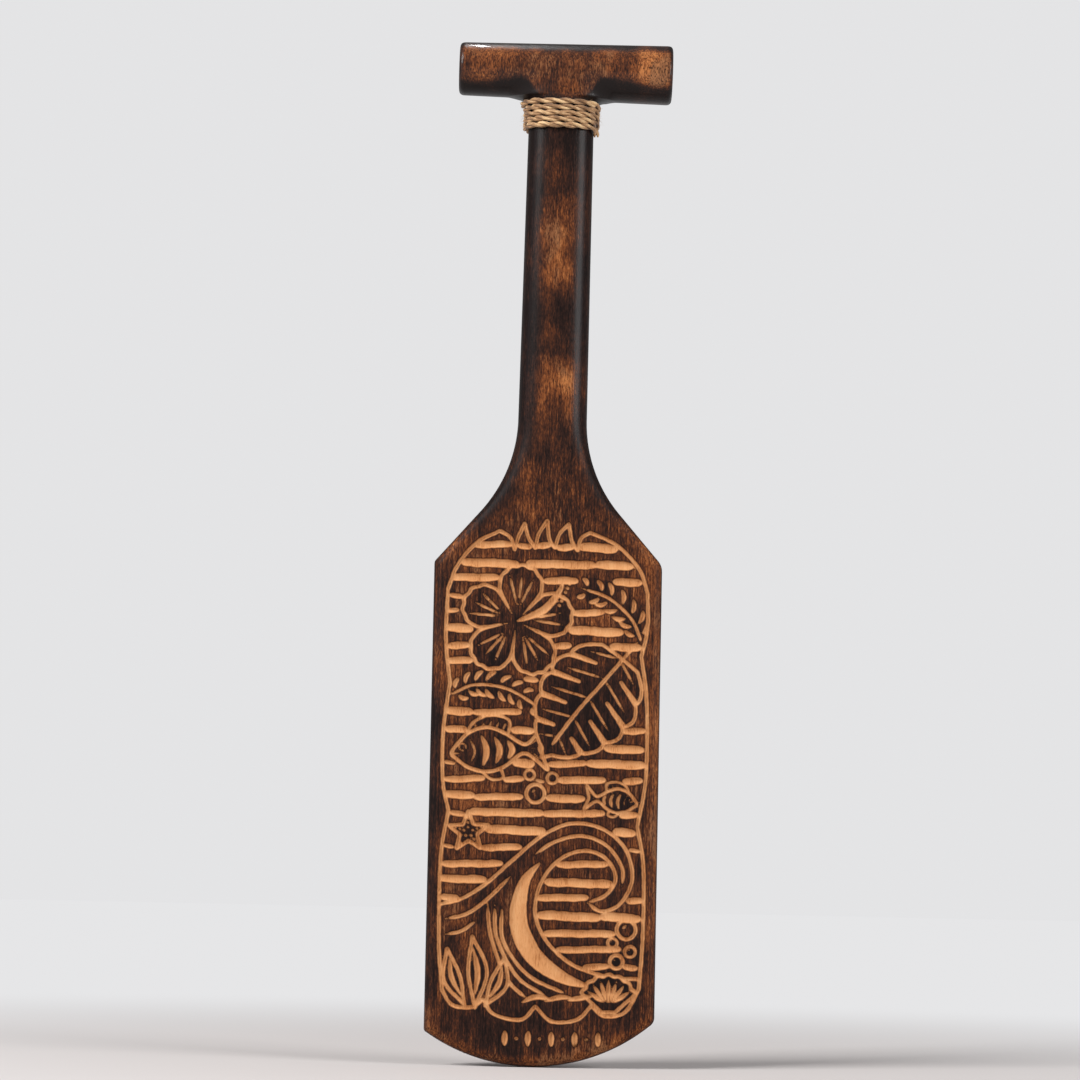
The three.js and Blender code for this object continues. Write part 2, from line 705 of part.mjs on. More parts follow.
function bladeAndShaft() {
  const rightSide = sideOutline(-tipOffset, rightTipCorner, rightShoulderCorner);
  const leftSide = sideOutline(tipOffset, leftTipCorner, leftShoulderCorner);
  const wood = solidOf(loft(rightSide.map((right, i) => sectionRing(right, leftSide[i]))));
  const bore = dowelBore().translate([drift(jointHeight), 0, jointHeight]);
  return geometryOf(wood.subtract(bore).subtract(carving()));
}

// Half the neck's width and thickness at a height over the joint. Below the fillet it
// matches the top of the shaft.
function neckSize(height) {
  const rise = clamp(height - (neckLength - neckFillet), 0, neckFillet);
  const spread = neckFillet - Math.sqrt(neckFillet ** 2 - rise ** 2);
  return {
    halfWidth: shaftTopWidth / 2 + spread,
    halfDepth: shaftThickness / 2 + neckSwell * (spread / neckFillet),
  };
}

// A point of the oval that has the neck's fullness, a fraction of a turn from the right.
function ovalPoint(halfWidth, halfDepth, fraction, height) {
  const turn = 2 * Math.PI * fraction;
  const power = 2 / shaftFullness;
  const x = halfWidth * signedPower(Math.cos(turn), power);
  const y = halfDepth * signedPower(Math.sin(turn), power);
  return new THREE.Vector3(x, y, height);
}

// One ring of the neck. Its rings tip over towards the slope of the bar's underside.
function neckRing(height) {
  const { halfWidth, halfDepth } = neckSize(height);
  const slope = Math.tan(2 * gripTaper) * clamp(height / neckLength, 0, 1);
  const ring = [];
  for (let i = 0; i < neckSides; i += 1) {
    const point = ovalPoint(halfWidth, halfDepth, i / neckSides, height);
    point.z -= slope * (point.x - gripOffset);
    ring.push(point);
  }
  return ring;
}

// The bar, turned with a slight taper and rounded ends, and planed along its top.
function gripBar(axisHeight) {
  const half = gripLength / 2;
  const profile = new THREE.Path();
  profile.moveTo(0, -half);
  profile.lineTo(gripLeftRadius - gripEndRound, -half);
  profile.absarc(gripLeftRadius - gripEndRound, gripEndRound - half, gripEndRound, -Math.PI / 2, 0);
  profile.absarc(gripRightRadius - gripEndRound, half - gripEndRound, gripEndRound, 0, Math.PI / 2);
  profile.lineTo(0, half);
  const turned = new THREE.LatheGeometry(profile.getPoints(barEndSteps), barSides);
  turned.rotateZ(-Math.PI / 2).rotateY(gripTaper).translate(gripOffset, 0, axisHeight);
  const planed = new THREE.BoxGeometry(2 * gripLength, 4 * gripRadius, 2 * gripRadius);
  planed.translate(gripOffset, 0, overallLength - jointHeight + gripRadius);
  return solidOf(turned).subtract(solidOf(planed));
}

// The grip in its own frame, whose origin is on the joint plane at the shaft's axis.
function tGrip() {
  const axisHeight = neckLength + gripRadius;
  const bar = gripBar(axisHeight);
  const rings = [neckRing(glueGap)];
  for (let i = 0; i <= neckSteps; i += 1) {
    const turn = (Math.PI / 2) * (i / neckSteps);
    rings.push(neckRing(neckLength - neckFillet * (1 - Math.sin(turn))));
  }
  rings.push(neckRing(axisHeight));
  const neck = solidOf(loft(rings));
  return geometryOf(bar.add(neck).subtract(dowelBore()));
}

function gripDowel() {
  const half = dowelLength / 2;
  const profile = [
    new THREE.Vector2(0, -half),
    new THREE.Vector2(dowelRadius - dowelChamfer, -half),
    new THREE.Vector2(dowelRadius, -half + dowelChamfer),
    new THREE.Vector2(dowelRadius, half - dowelChamfer),
    new THREE.Vector2(dowelRadius - dowelChamfer, half),
    new THREE.Vector2(0, half),
  ];
  return new THREE.LatheGeometry(profile, dowelSides).rotateX(Math.PI / 2);
}

// The cord's centreline lies on the neck's outline, and follows it out into the fillet.
function cordPoint(turns, height) {
  const out = cordDiameter / 2 + cordClearance;
  const { halfWidth, halfDepth } = neckSize(height + cordDiameter / 2);
  const startAtBack = 1 / 4;
  return ovalPoint(halfWidth + out, halfDepth + out, startAtBack + turns, height);
}

function cordCentreline() {
  const top = (cordTurns * cordPitch) / 2;
  const windingSteps = Math.round(cordTurns * stepsPerTurn);
  const points = [];
  for (let i = 0; i <= windingSteps; i += 1) {
    const turns = (cordTurns * i) / windingSteps;
    points.push(cordPoint(turns, top - turns * cordPitch));
  }
  for (let i = 1; i <= tailSteps; i += 1) {
    const along = i / tailSteps;
    const turns = cordTurns + tailSweep * along * (2 - along);
    points.push(cordPoint(turns, -top - tailDrop * along ** 2));
  }
  return new THREE.CatmullRomCurve3(points, false, "centripetal");
}

// The least gap between two stretches of the cord that lie more than half a turn apart.
function leastGap(centreline) {
  const samples = centreline.getSpacedPoints(600);
  const apart = Math.round(samples.length / (2 * cordTurns));
  let least = Infinity;
  for (let i = 0; i < samples.length; i += 1) {
    for (let j = i + apart; j < samples.length; j += 1) {
      least = Math.min(least, samples[i].distanceTo(samples[j]) - cordDiameter);
    }
  }
  return least;
}

function lashingCord() {
  const centreline = cordCentreline();
  console.log(`least gap of the lashing to itself: ${leastGap(centreline).toFixed(2)} mm`);
  const section = new THREE.Shape();
  section.absarc(0, 0, cordDiameter / 2, 0, 2 * Math.PI);
  return new THREE.ExtrudeGeometry(section, {
    steps: centreline.points.length - 1,
    curveSegments: cordSides / 2,
    extrudePath: centreline,
  });
}

function part(name, geometry, color, roughness) {
  const mesh = new THREE.Mesh(geometry, new THREE.MeshStandardMaterial({ color, roughness, metalness: 0 }));
  mesh.name = name;
  return mesh;
}

const scorchedWood = 0x4a2d1c;
const bareWood = 0xc9a06c;
const seagrass = 0xb8925f;

const head = new THREE.Group();
head.position.set(drift(jointHeight), 0, jointHeight);
head.add(part("t_grip", tGrip(), scorchedWood, 0.45));
head.add(part("grip_dowel", gripDowel(), bareWood, 0.7));
head.add(part("lashing_cord", lashingCord(), seagrass, 0.85));

const paddle = new THREE.Group();
paddle.add(part("blade_and_shaft", bladeAndShaft(), scorchedWood, 0.45));
paddle.add(head);

export default paddle;
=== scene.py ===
"""Dresses the carved wooden paddle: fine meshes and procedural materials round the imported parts.

Lengths are in millimetres until a mesh is made, and the frame is the part's own: z runs up
the paddle from the blade's tip, x to the right as one looks at the carved face, and the
carved face looks along -y. The floor and the lamps are placed in metres.
"""
import math

import bmesh
import bpy
import numpy as np
from mathutils import Matrix, Vector


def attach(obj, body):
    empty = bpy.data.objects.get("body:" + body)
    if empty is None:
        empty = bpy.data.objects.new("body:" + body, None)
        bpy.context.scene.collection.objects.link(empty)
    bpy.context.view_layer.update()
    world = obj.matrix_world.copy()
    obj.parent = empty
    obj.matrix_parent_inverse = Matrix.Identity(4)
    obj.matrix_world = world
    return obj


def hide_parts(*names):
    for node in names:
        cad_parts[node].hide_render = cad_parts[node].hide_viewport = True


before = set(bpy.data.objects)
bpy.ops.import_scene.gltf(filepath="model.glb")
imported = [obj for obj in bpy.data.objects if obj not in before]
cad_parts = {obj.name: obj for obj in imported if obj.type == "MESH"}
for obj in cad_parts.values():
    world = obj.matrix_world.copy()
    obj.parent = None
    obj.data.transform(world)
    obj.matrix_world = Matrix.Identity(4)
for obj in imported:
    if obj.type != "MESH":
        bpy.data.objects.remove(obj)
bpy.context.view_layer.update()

MM = 0.001

# The blade and shaft, as in the part's source.
OVERALL_LENGTH = 500
BLADE_WIDTH = 111
TIP_RADIUS = 90
TIP_OFFSET = 3.8  # the lowest point lies this far left of the middle
LEFT_TIP_CORNER = 2
RIGHT_TIP_CORNER = 5
SHOULDER_HEIGHT = 243
SHOULDER_ANGLE = math.radians(41)
LEFT_SHOULDER_CORNER = 3
RIGHT_SHOULDER_CORNER = 8
FLARE_RADIUS = 70
BLADE_THICKNESS = 14
EDGE_BAND = 7
EDGE_FULLNESS = 3
SWELL_FROM = 243
SWELL_TO = 322
SHAFT_FOOT_WIDTH = 33.6
SHAFT_TOP_WIDTH = 32
SHAFT_THICKNESS = 25
SHAFT_FULLNESS = 2.5
SHAFT_DRIFT = 2

# The grip, its joint and its lashing.
GRIP_LENGTH = 105
GRIP_LEFT_RADIUS = 13.1
GRIP_RIGHT_RADIUS = 14.6
GRIP_TOP_FLAT = 0.7
GRIP_OFFSET = 1.8
GRIP_END_ROUND = 1.3
GRIP_BLEND = 6.5  # how softly the neck runs into the bar
NECK_LENGTH = 9
NECK_SWELL = 1.1
NECK_FILLET = 5
DOWEL_RADIUS = 5
DOWEL_LENGTH = 40
GLUE_GAP = 0.3
CORD_DIAMETER = 2.5
CORD_TURNS = 4.67
CORD_PITCH = 2.95
CORD_CLEARANCE = 0.35
TAIL_DROP = 3.5
TAIL_SWEEP = 0.045

GRIP_RADIUS = (GRIP_LEFT_RADIUS + GRIP_RIGHT_RADIUS) / 2
GRIP_TAPER = math.asin((GRIP_RIGHT_RADIUS - GRIP_LEFT_RADIUS) / GRIP_LENGTH)
BAR_HEIGHT = OVERALL_LENGTH + GRIP_TOP_FLAT - GRIP_RADIUS / math.cos(GRIP_TAPER)
JOINT_HEIGHT = BAR_HEIGHT - GRIP_RADIUS - NECK_LENGTH
FLARE_RISE = FLARE_RADIUS * math.sin(SHOULDER_ANGLE)
FLARE_SPREAD = FLARE_RADIUS * (1 - math.cos(SHOULDER_ANGLE))
SHOULDER_SPREAD = (BLADE_WIDTH - SHAFT_FOOT_WIDTH) / 2 - FLARE_SPREAD
FLARE_TOP = SHOULDER_HEIGHT + SHOULDER_SPREAD / math.tan(SHOULDER_ANGLE) + FLARE_RISE

# The carving: widths of its cuts, and how deep they go.
GROOVE = 2.2
FINE_GROOVE = 1.8
STRIPE_PITCH = 8.1
STRIPE_HEIGHT = 4
STRIPE_TAPER = 4.5
STRIPE_SHORTEST = 4
STRIPE_LONGEST = 34
STRIPE_CLEARANCE = 1.2
STRIPE_INSET = 0.8  # from the edge of the free span to the stripe's end
STRIPE_GAP = 0.7
WATER_FOOT = 24
WATER_TOP = 262
CUT_DEPTH = 1.25
CUT_WALL = 0.42  # how far in from its rim a cut reaches most of its depth
RIM_WOBBLE = 0.13
FIELD_STEP = 0.25
FIELD_REACH = 2.0
REGION_STEP = 4  # field steps between the points that tell raised shapes from the ground
SNAP_REACH = 0.3  # points this near a cut's rim are drawn onto it
SNAP_STEEPNESS = 0.4
SNAP_MARGIN = 0.5  # and not those this near the outline
KNOTS = 512  # the side of the square of random values behind a ripple

# Mesh spacings.
FOOT_ROWS = 48
SIDE_ROWS = 326
SLOPE_ROWS = 36
FLARE_ROWS = 49
SHAFT_ROWS = 99
TIP_CORNER_ROWS = 6
SHOULDER_CORNER_ROWS = 5
FOOT_MARGIN = 0.4
FINE_TOP = 266.0  # the carving ends below this height
BAND_STEPS = 16
BAND_SPACING = 2.8  # the fullness of the curve that spaces the band's points
FINE_COLUMNS = 150
COARSE_COLUMNS = 25
BACK_COLUMNS = 10
BACK_ROWS_EACH = 4
JOINT_EDGE = 6.0  # what the joint's end counts as its distance in from the outline
GRIP_CELL = 0.7
GRIP_ROOM = 17
NET_PASSES = 4
NUDGE = 0.02
TAIL_STEPS = 11
CORD_STEPS = 72  # for each turn
ROPE_STEP = 0.45
SAME_POINT = 1e-6
MERGE_METRES = 1e-6

# The rope, its strands and its loose hairs.
ROPE_DIAMETER = 2.9
ROPE_LAY = 15.0  # one full turn of the strands
STRAND_RADIUS = ROPE_DIAMETER / 4 * 1.04
STRAND_WIDENING = 1.18
STRAND_SIDES = 12
HAIRS = 150
HAIR_STEPS = 4
HAIR_RADIUS = 0.055


def lerp(a, b, t):
    return a + (b - a) * t


def smooth(t):
    return t * t * (3 - 2 * t)


def running(lengths):
    """How far along each point is, from the lengths between the points."""
    return np.concatenate([[0], np.cumsum(lengths)])


def bilinear(grid, i, j, s, t):
    """A grid's value past column i and row j, by the shares s and t of a cell."""
    low = grid[j, i] * (1 - s) + grid[j, i + 1] * s
    high = grid[j + 1, i] * (1 - s) + grid[j + 1, i + 1] * s
    return low * (1 - t) + high * t


def spline(points, closed=False, steps=8):
    """A smooth curve through the points."""
    pts = [np.array(p, float) for p in points]
    if closed:
        ring = [pts[-1], *pts, pts[0], pts[1]]
    else:
        ring = [2 * pts[0] - pts[1], *pts, 2 * pts[-1] - pts[-2]]
    out = []
    for a, b, c, d in zip(ring, ring[1:], ring[2:], ring[3:]):
        for t in np.arange(steps) / steps:
            square, cube = 2 * a - 5 * b + 4 * c - d, 3 * b - a - 3 * c + d
            out.append(b + ((c - a) * t + square * t**2 + cube * t**3) / 2)
    out.append(out[0].copy() if closed else pts[-1])
    return np.array(out)


def polar(radius, start=0, end=360, steps=96):
    """A curve round the origin, with its radius given by the angle."""
    angles = np.radians(np.linspace(start, end, steps + 1))
    r = np.array([radius(a) for a in angles])
    return np.column_stack([r * np.cos(angles), r * np.sin(angles)])


def place(points, at, turn=0.0):
    """The points turned by degrees about the origin and then moved."""
    a = math.radians(turn)
    spin = np.array([[math.cos(a), -math.sin(a)], [math.sin(a), math.cos(a)]])
    return np.asarray(points, float) @ spin.T + np.array(at, float)


def resample(points, spacing=0.8):
    """The polyline with even spacing, and each point's distance along it."""
    pts = np.asarray(points, float)
    along = running(np.hypot(*np.diff(pts, axis=0).T))
    count = max(int(along[-1] / spacing), 2)
    even = np.linspace(0, along[-1], count + 1)
    return np.column_stack([np.interp(even, along, column) for column in pts.T]), even


def inside(points, region):
    """Which points lie inside a closed polyline."""
    x, z = points[:, 0], points[:, 1]
    odd = np.zeros(len(points), bool)
    for (x0, z0), (x1, z1) in zip(region[:-1], region[1:]):
        if z0 == z1:
            continue
        crosses = (z0 > z) != (z1 > z)
        odd ^= crosses & (x < x0 + (x1 - x0) * (z - z0) / (z1 - z0))
    return odd


class Carving:
    """Strokes are polylines with a width at each point. Regions are raised shapes that hide
    whatever is drawn after them."""

    def __init__(self):
        self.strokes = []
        self.regions = []

    def cut(self, pts, widths):
        hidden = np.zeros(len(pts), bool)
        for region in self.regions:
            hidden |= inside(pts, region)
        run = []
        for p, w, gone in zip(pts, widths, hidden):
            if gone:
                self.keep(run)
                run = []
            else:
                run.append((p, w))
        self.keep(run)

    def keep(self, run):
        if len(run) > 1:
            self.strokes.append((np.array([p for p, _ in run]), np.array([w for _, w in run])))

    def line(self, points, width=GROOVE, taper=(4, 4)):
        """A groove that narrows to a point over taper millimetres at each end."""
        pts, along = resample(points)
        widths = np.full(len(pts), float(width))
        for end, reach in ((along, taper[0]), (along[-1] - along, taper[1])):
            if reach:
                widths *= np.clip(end / reach, 0.15, 1) ** 0.6
        self.cut(pts, widths)

    def brush(self, points, width, fullness=1.0):
        """A long scoop, widest in the middle."""
        pts, along = resample(points, 0.6)
        self.cut(pts, width * np.sin(math.pi * along / along[-1]).clip(0, 1) ** fullness)

    def dot(self, at, size):
        self.cut(np.array([at, np.add(at, (0.05, 0))]), np.array([size, size]))

    def motif(self, outline, width=GROOVE):
        """Outlines a raised shape and hides what comes after inside it."""
        pts, _ = resample(outline)
        self.cut(pts, np.full(len(pts), float(width)))
        self.regions.append(np.asarray(outline, float))


def hibiscus(c, at, radius, turn):
    """Five veined petals with frilled rims, under a long style with pollen dots."""

    def rim(a):
        petals = 0.5 + 0.5 * abs(math.cos(2.5 * a)) ** 0.5
        return radius * petals * (1 + 0.016 * math.cos(30 * a))

    style = spline([(0, 0), (radius * 0.5, -2), (radius * 0.86, 1), (radius * 1.1, 5)])
    c.brush(place(style, at, turn + 20), 4.2, 0.5)
    for k in range(6):
        c.dot(place([(radius * (0.8 + 0.07 * k), -4.0 + 1.3 * k)], at, turn + 20)[0], 1.9)
    parting = [(radius * 0.16, 0), (radius * 0.5, 0)]
    for k in range(5):
        c.line(place(parting, at, turn + 36 + 72 * k), taper=(7, 0))
        for side in (-1, 0, 1):
            vein = [(radius * 0.3, side), (radius * 0.55, side * 3.4), (radius * 0.8, side * 6)]
            c.line(place(spline(vein), at, turn + 72 * k), 1.6)
    c.motif(place(polar(rim, steps=150), at, turn))


def split_leaf(c, at, length, width, turn):
    """A broad leaf whose lobes are parted by slits on both sides of the midrib."""
    lobes = 5

    def margin(u):
        return width / 2 * math.sin(math.pi * min(1, (0.04 + 0.96 * u) ** 0.75)) ** 0.6

    side = []
    for k in range(lobes):
        first, last = k / lobes, (k + 1) / lobes
        for t in (0.03, 0.2, 0.4, 0.6, 0.8, 0.93):
            u = first + t * (last - first)
            swell = 0.93 + 0.1 * math.sin(math.pi * t)
            side.append((length * (u + 0.13 * margin(u) / width), margin(u) * swell))
        if k < lobes - 1:
            side.append((length * (last - 0.012), 0.36 * margin(last)))
    upper = [(0.03 * length, 0), *side, (length * 1.06, 0)]
    lower = [(x, -y) for x, y in reversed(side)]
    for k in range(lobes):
        u = (k + 0.42) / lobes
        for s in (-1, 1):
            tip = (length * (u + 0.16 * margin(u) / width), s * margin(u) * 0.78)
            c.line(place([(length * (u - 0.03), s * 1.2), tip], at, turn), 1.5, (2, 5))
    midrib = spline([(-9, 2), (length * 0.3, 0.6), (length * 0.6, -0.4), (length * 0.95, 0)])
    c.line(place(midrib, at, turn), GROOVE, (2, 4))
    c.motif(place(upper + lower + [(0.03 * length, 0)], at, turn))


def fish(c, at, length, turn, flip, groove):
    """A fish from its nose to its tail, with bars, a gill, an eye and two fins. flip, 1 or -1,
    says which way its back points."""

    def pose(points):
        scaled = [(u * length, v * length * flip) for u, v in points]
        return place(scaled, at, turn)

    body = spline(pose([
        (0, -0.01), (0.07, 0.09), (0.2, 0.2), (0.38, 0.245), (0.56, 0.18), (0.72, 0.07),
        (0.8, 0.05), (0.9, 0.14), (1.0, 0.23), (0.96, 0.08), (0.93, 0.0), (0.96, -0.1),
        (1.0, -0.23), (0.88, -0.12), (0.78, -0.05), (0.7, -0.07), (0.54, -0.18), (0.36, -0.22),
        (0.18, -0.17), (0.06, -0.08),
    ]), closed=True, steps=6)
    for u, h in ((0.32, 0.17), (0.46, 0.145), (0.59, 0.1)):
        c.brush(spline(pose([(u, -h), (u + 0.05, 0), (u, h)])), 0.075 * length, 0.6)
    c.line(spline(pose([(0.2, -0.12), (0.245, 0.0), (0.2, 0.13)])), 0.03 * length, (3, 3))
    c.line(pose([(0.02, -0.01), (0.085, -0.015)]), 0.025 * length, (0, 2))
    ring = polar(lambda a: 0.036 * length, steps=24)
    c.line(place(ring, pose([(0.12, 0.05)])[0]), 0.022 * length, (0, 0))
    for v in (-0.6, 0, 0.6):
        c.line(pose([(0.84, v * 0.06), (0.93, v * 0.2)]), 0.02 * length, (2, 2))
    c.motif(body, groove)
    for k in range(5):
        ray = [(0.25 + 0.075 * k, 0.25 - 0.01 * k), (0.29 + 0.075 * k, 0.31 - 0.012 * abs(k - 2))]
        c.line(pose(ray), 0.024 * length, (1, 1))
    back_fin = [(0.16, 0.16), (0.24, 0.3), (0.42, 0.37), (0.62, 0.31), (0.6, 0.14)]
    belly_fin = [(0.3, -0.2), (0.4, -0.3), (0.53, -0.29), (0.5, -0.17)]
    for points in (back_fin, belly_fin):
        fin = spline(pose(points))
        c.motif(np.vstack([fin, fin[:1]]), groove * 0.85)


def shell(c, at, radius, turn):
    """A fan shell with a scalloped rim and scooped rays."""

    def rim(a):
        return radius * (0.92 + 0.08 * abs(math.cos(8 * a)))

    fan = polar(rim, -70, 70, 60)
    for k in range(-3, 4):
        a = math.radians(20 * k)
        tip = (radius * 0.84 * math.cos(a), radius * 0.84 * math.sin(a))
        c.brush(place([(radius * 0.02, 0.7 * k), tip], at, turn), 2.4, 0.7)
    one, other = (-radius * 0.3, -3.2), (-radius * 0.3, 3.2)
    c.motif(place(np.vstack([[one], fan, [other, one]]), at, turn))


def star(c, at, radius, turn):
    """A starfish with a row of dots along each arm."""
    pts = []
    for k in range(10):
        r, a = radius * (1, 0.44)[k % 2], math.radians(36 * k)
        pts.append((r * math.cos(a), r * math.sin(a)))
    for k in range(5):
        for r in (0.22, 0.44, 0.64):
            c.dot(place([(radius * r, 0)], at, turn + 72 * k)[0], 1.8 - 0.8 * r)
    c.motif(place([*pts, pts[0]], at, turn))


def frond(c, points, leaflets, reach):
    """A stem with pairs of leaflets scooped out on both sides."""
    stem = spline(points, steps=12)
    edges = {1: [], -1: []}
    for s, tips in edges.items():
        for k in range(leaflets):
            u = (k + 0.6) / leaflets
            i = int(u * (len(stem) - 2))
            ahead = stem[i + 1] - stem[i]
            ahead = ahead / np.hypot(*ahead)
            side = np.array([-ahead[1], ahead[0]]) * s
            size = reach * (0.5 + 0.6 * math.sin(math.pi * (0.2 + 0.7 * u)))
            tip = stem[i] + (side * 0.74 + ahead * 0.68) * size
            root = stem[i] + side * FINE_GROOVE + ahead
            c.brush(spline([root, (root + tip) / 2 + (side - ahead) * 0.6, tip]), 2.7, 0.6)
            tips.append(tip + ahead)
    c.line(stem, FINE_GROOVE, (2, 5))
    c.regions.append(np.array([stem[0], *edges[1], stem[-1], *reversed(edges[-1]), stem[0]]))


def blade_leaf(c, root, tip, bow, width):
    """A plain pointed leaf with a scooped vein."""
    a, b = np.array(root, float), np.array(tip, float)
    across = np.array([-(b - a)[1], (b - a)[0]]) / np.hypot(*(b - a))
    middle = (a + b) / 2 + across * bow
    one = spline([a, middle + across * width / 2, b])
    two = spline([b, middle - across * width / 2, a])
    c.brush(spline([a + (b - a) * 0.14, middle, a + (b - a) * 0.86]), width * 0.36, 0.7)
    c.motif(np.vstack([one, two[1:]]))


def bubbles(c, spots):
    """Rings with a glint in each."""
    for x, z, r in spots:
        c.brush([(x - r * 0.45, z + r * 0.05), (x + r * 0.05, z + r * 0.5)], r * 0.32)
        c.motif(place(polar(lambda a: r, steps=32), (x, z)), GROOVE if r > 3 else FINE_GROOVE)


def wave(c):
    """A breaking wave that rises from the left and curls over to the right. Returns the body
    of water under it."""
    back = spline([
        (-48.5, 77), (-38, 80), (-26, 88), (-13, 100), (0, 111), (14, 117), (29, 114.5), (40, 105),
        (43.5, 91), (38, 79), (29, 75), (22, 79),
    ])
    face = spline([
        (47, 43), (34, 43.5), (16, 49), (3, 60), (-3, 74), (0, 89), (9, 100), (21, 104), (31, 100),
        (35.5, 91), (31, 83), (22, 79),
    ])
    scoop = [(26, 38), (10, 43.5), (-4, 54), (-11, 70), (-8.5, 88), (0, 99)]
    c.brush(spline(scoop, steps=12), 9.5, 0.75)
    crest = [(-4, 101.5), (6, 108), (19, 111), (31, 106.5), (38.5, 96), (38.5, 87)]
    c.line(spline(crest), taper=(5, 5))
    folds = [
        [
            (12 - 9 * k, 35.5 - 1.5 * k), (-6 - 5 * k, 44 - k), (-18 - 3 * k, 60 + k),
            (-19 - 3.5 * k, 76 + k),
        ]
        for k in range(3)
    ]
    swells = [
        [(-46, 70), (-36, 72.5), (-27, 79), (-15, 91)],
        [(-46, 62.5), (-38, 64.5), (-31, 69.5)],
    ]
    for points in folds + swells:
        c.line(spline(points), taper=(4, 5))
    for points in (face, back):
        c.line(points, taper=(0, 4))
    return np.vstack([back, face[::-1], [(49, 20), (-49, 20), (-49, 77)]])


def panel():
    """The edge of the picture: shallow arcs down the sides, leaf tips at the top between
    the two shoulder arcs, and scallops across the foot."""
    corner = (-48.5, 229)
    edge = []
    for turn in (
        [(-48.9, 205), (-46.5, 184)],
        [(-49.2, 160), (-48.8, 136), (-45.8, 122)],
        [(-49, 100), (-49, 60), (-47, 36)],
        [(-42, 29), (-33, 28), (-27, 32)],
        [(-22, 25), (-9, 22.5), (-2, 29)],
        [(6, 22), (18, 23), (25, 30)],
        [(31, 25), (41, 27), (47.5, 38)],
        [(49, 62), (48.8, 96), (45.5, 116)],
        [(49.2, 140), (49, 176), (46, 198)],
        [(48.8, 212), (48.5, 229)],
        [(44, 241), (33, 252), (20, 258)],
        [(15.5, 255), (14, 249)],
        [(11, 254), (9.5, 262)],
        [(5, 257), (3, 250)],
        [(0, 255), (-1, 263.5)],
        [(-5, 257), (-6.5, 250)],
        [(-10, 255), (-12, 262)],
        [(-15, 255), (-16.5, 249)],
        [(-19, 255), (-24, 258)],
        [(-35, 252), (-44, 241), (-48.5, 229)],
    ):
        edge.extend(spline([corner, *turn])[:-1])
        corner = turn[-1]
    return np.array([*edge, corner], float)


def crossings(points, z):
    """The spans of a level line inside a closed polyline."""
    xs = []
    for (x0, z0), (x1, z1) in zip(points[:-1], points[1:]):
        if (z0 > z) != (z1 > z):
            xs.append(x0 + (x1 - x0) * (z - z0) / (z1 - z0))
    xs.sort()
    return list(zip(xs[::2], xs[1::2]))


def subtract(free, low, high):
    """What is left of the free spans without the part from low to high."""
    rest = []
    for a, b in free:
        if high <= a or low >= b:
            rest.append((a, b))
            continue
        if low > a:
            rest.append((a, low))
        if high < b:
            rest.append((high, b))
    return rest


def free_spans(edge, regions, z):
    """The spans of a level line inside the picture's edge and clear of every raised shape."""
    free = crossings(edge, z)
    for region in regions:
        for aside in (-STRIPE_CLEARANCE, 0, STRIPE_CLEARANCE):
            for low, high in crossings(region, z + aside):
                free = subtract(free, low, high)
    return free


def water(c, edge):
    """Level stripes of water in what is left free, with the gentle unevenness of a hand."""
    regions = c.regions
    c.regions = []
    for z in np.arange(WATER_FOOT, WATER_TOP, STRIPE_PITCH):
        def sway(x, phase):
            return math.sin(0.2 * x + 0.3 * z + phase)

        for a, b in free_spans(edge, regions, z):
            start = a + STRIPE_INSET + 0.6 * sway(a, 0)
            end = b - STRIPE_INSET - 0.6 * sway(b, 2)
            parts = max(math.ceil((end - start) / STRIPE_LONGEST), 1)
            shares = [i if i in (0, parts) else i + 0.3 * sway(i, 4) for i in range(parts + 1)]
            stops = [lerp(start, end, share / parts) for share in shares]
            for p, q in zip(stops[:-1], stops[1:]):
                length = q - p - STRIPE_GAP
                if length >= STRIPE_SHORTEST:
                    stripe(c, p, z + 0.5 * sway(p, 3), length, sway(p, 5))
    c.regions = regions


def stripe(c, x, z, length, lean):
    """One stripe, with blunt ends. lean, from -1 to 1, tilts and thickens it a little."""
    taper = min(STRIPE_TAPER, length / 2.2)
    tall = min(STRIPE_HEIGHT * (1 + 0.14 * lean), length / 2)
    along = np.linspace(0.5, length - 0.5, max(int(length / 0.6), 4))
    near = np.minimum(along, length - along)
    widths = 1.06 * tall * np.interp(near, [0, 0.3 * taper, taper], [0.55, 0.9, 1.0])
    widths *= 1 + 0.035 * np.sin(0.9 * along + 3 * lean) * np.clip(near / taper, 0, 1)
    tilt = 0.4 * lean * np.cos(math.pi * along / length)
    wave = 0.12 * np.sin(0.4 * along + 5 * lean)
    c.cut(np.column_stack([x + along, z + tilt + wave]), widths)


def chip_row(c, middle, z):
    """A row of upright chip cuts with dots between them."""
    for k in range(-4, 5):
        x = middle + 5.6 * k
        if k % 2 == 0:
            c.brush([(x, z - 4), (x, z + 4)], 3.4, 0.8)
        else:
            c.dot((x, z), 1.9)


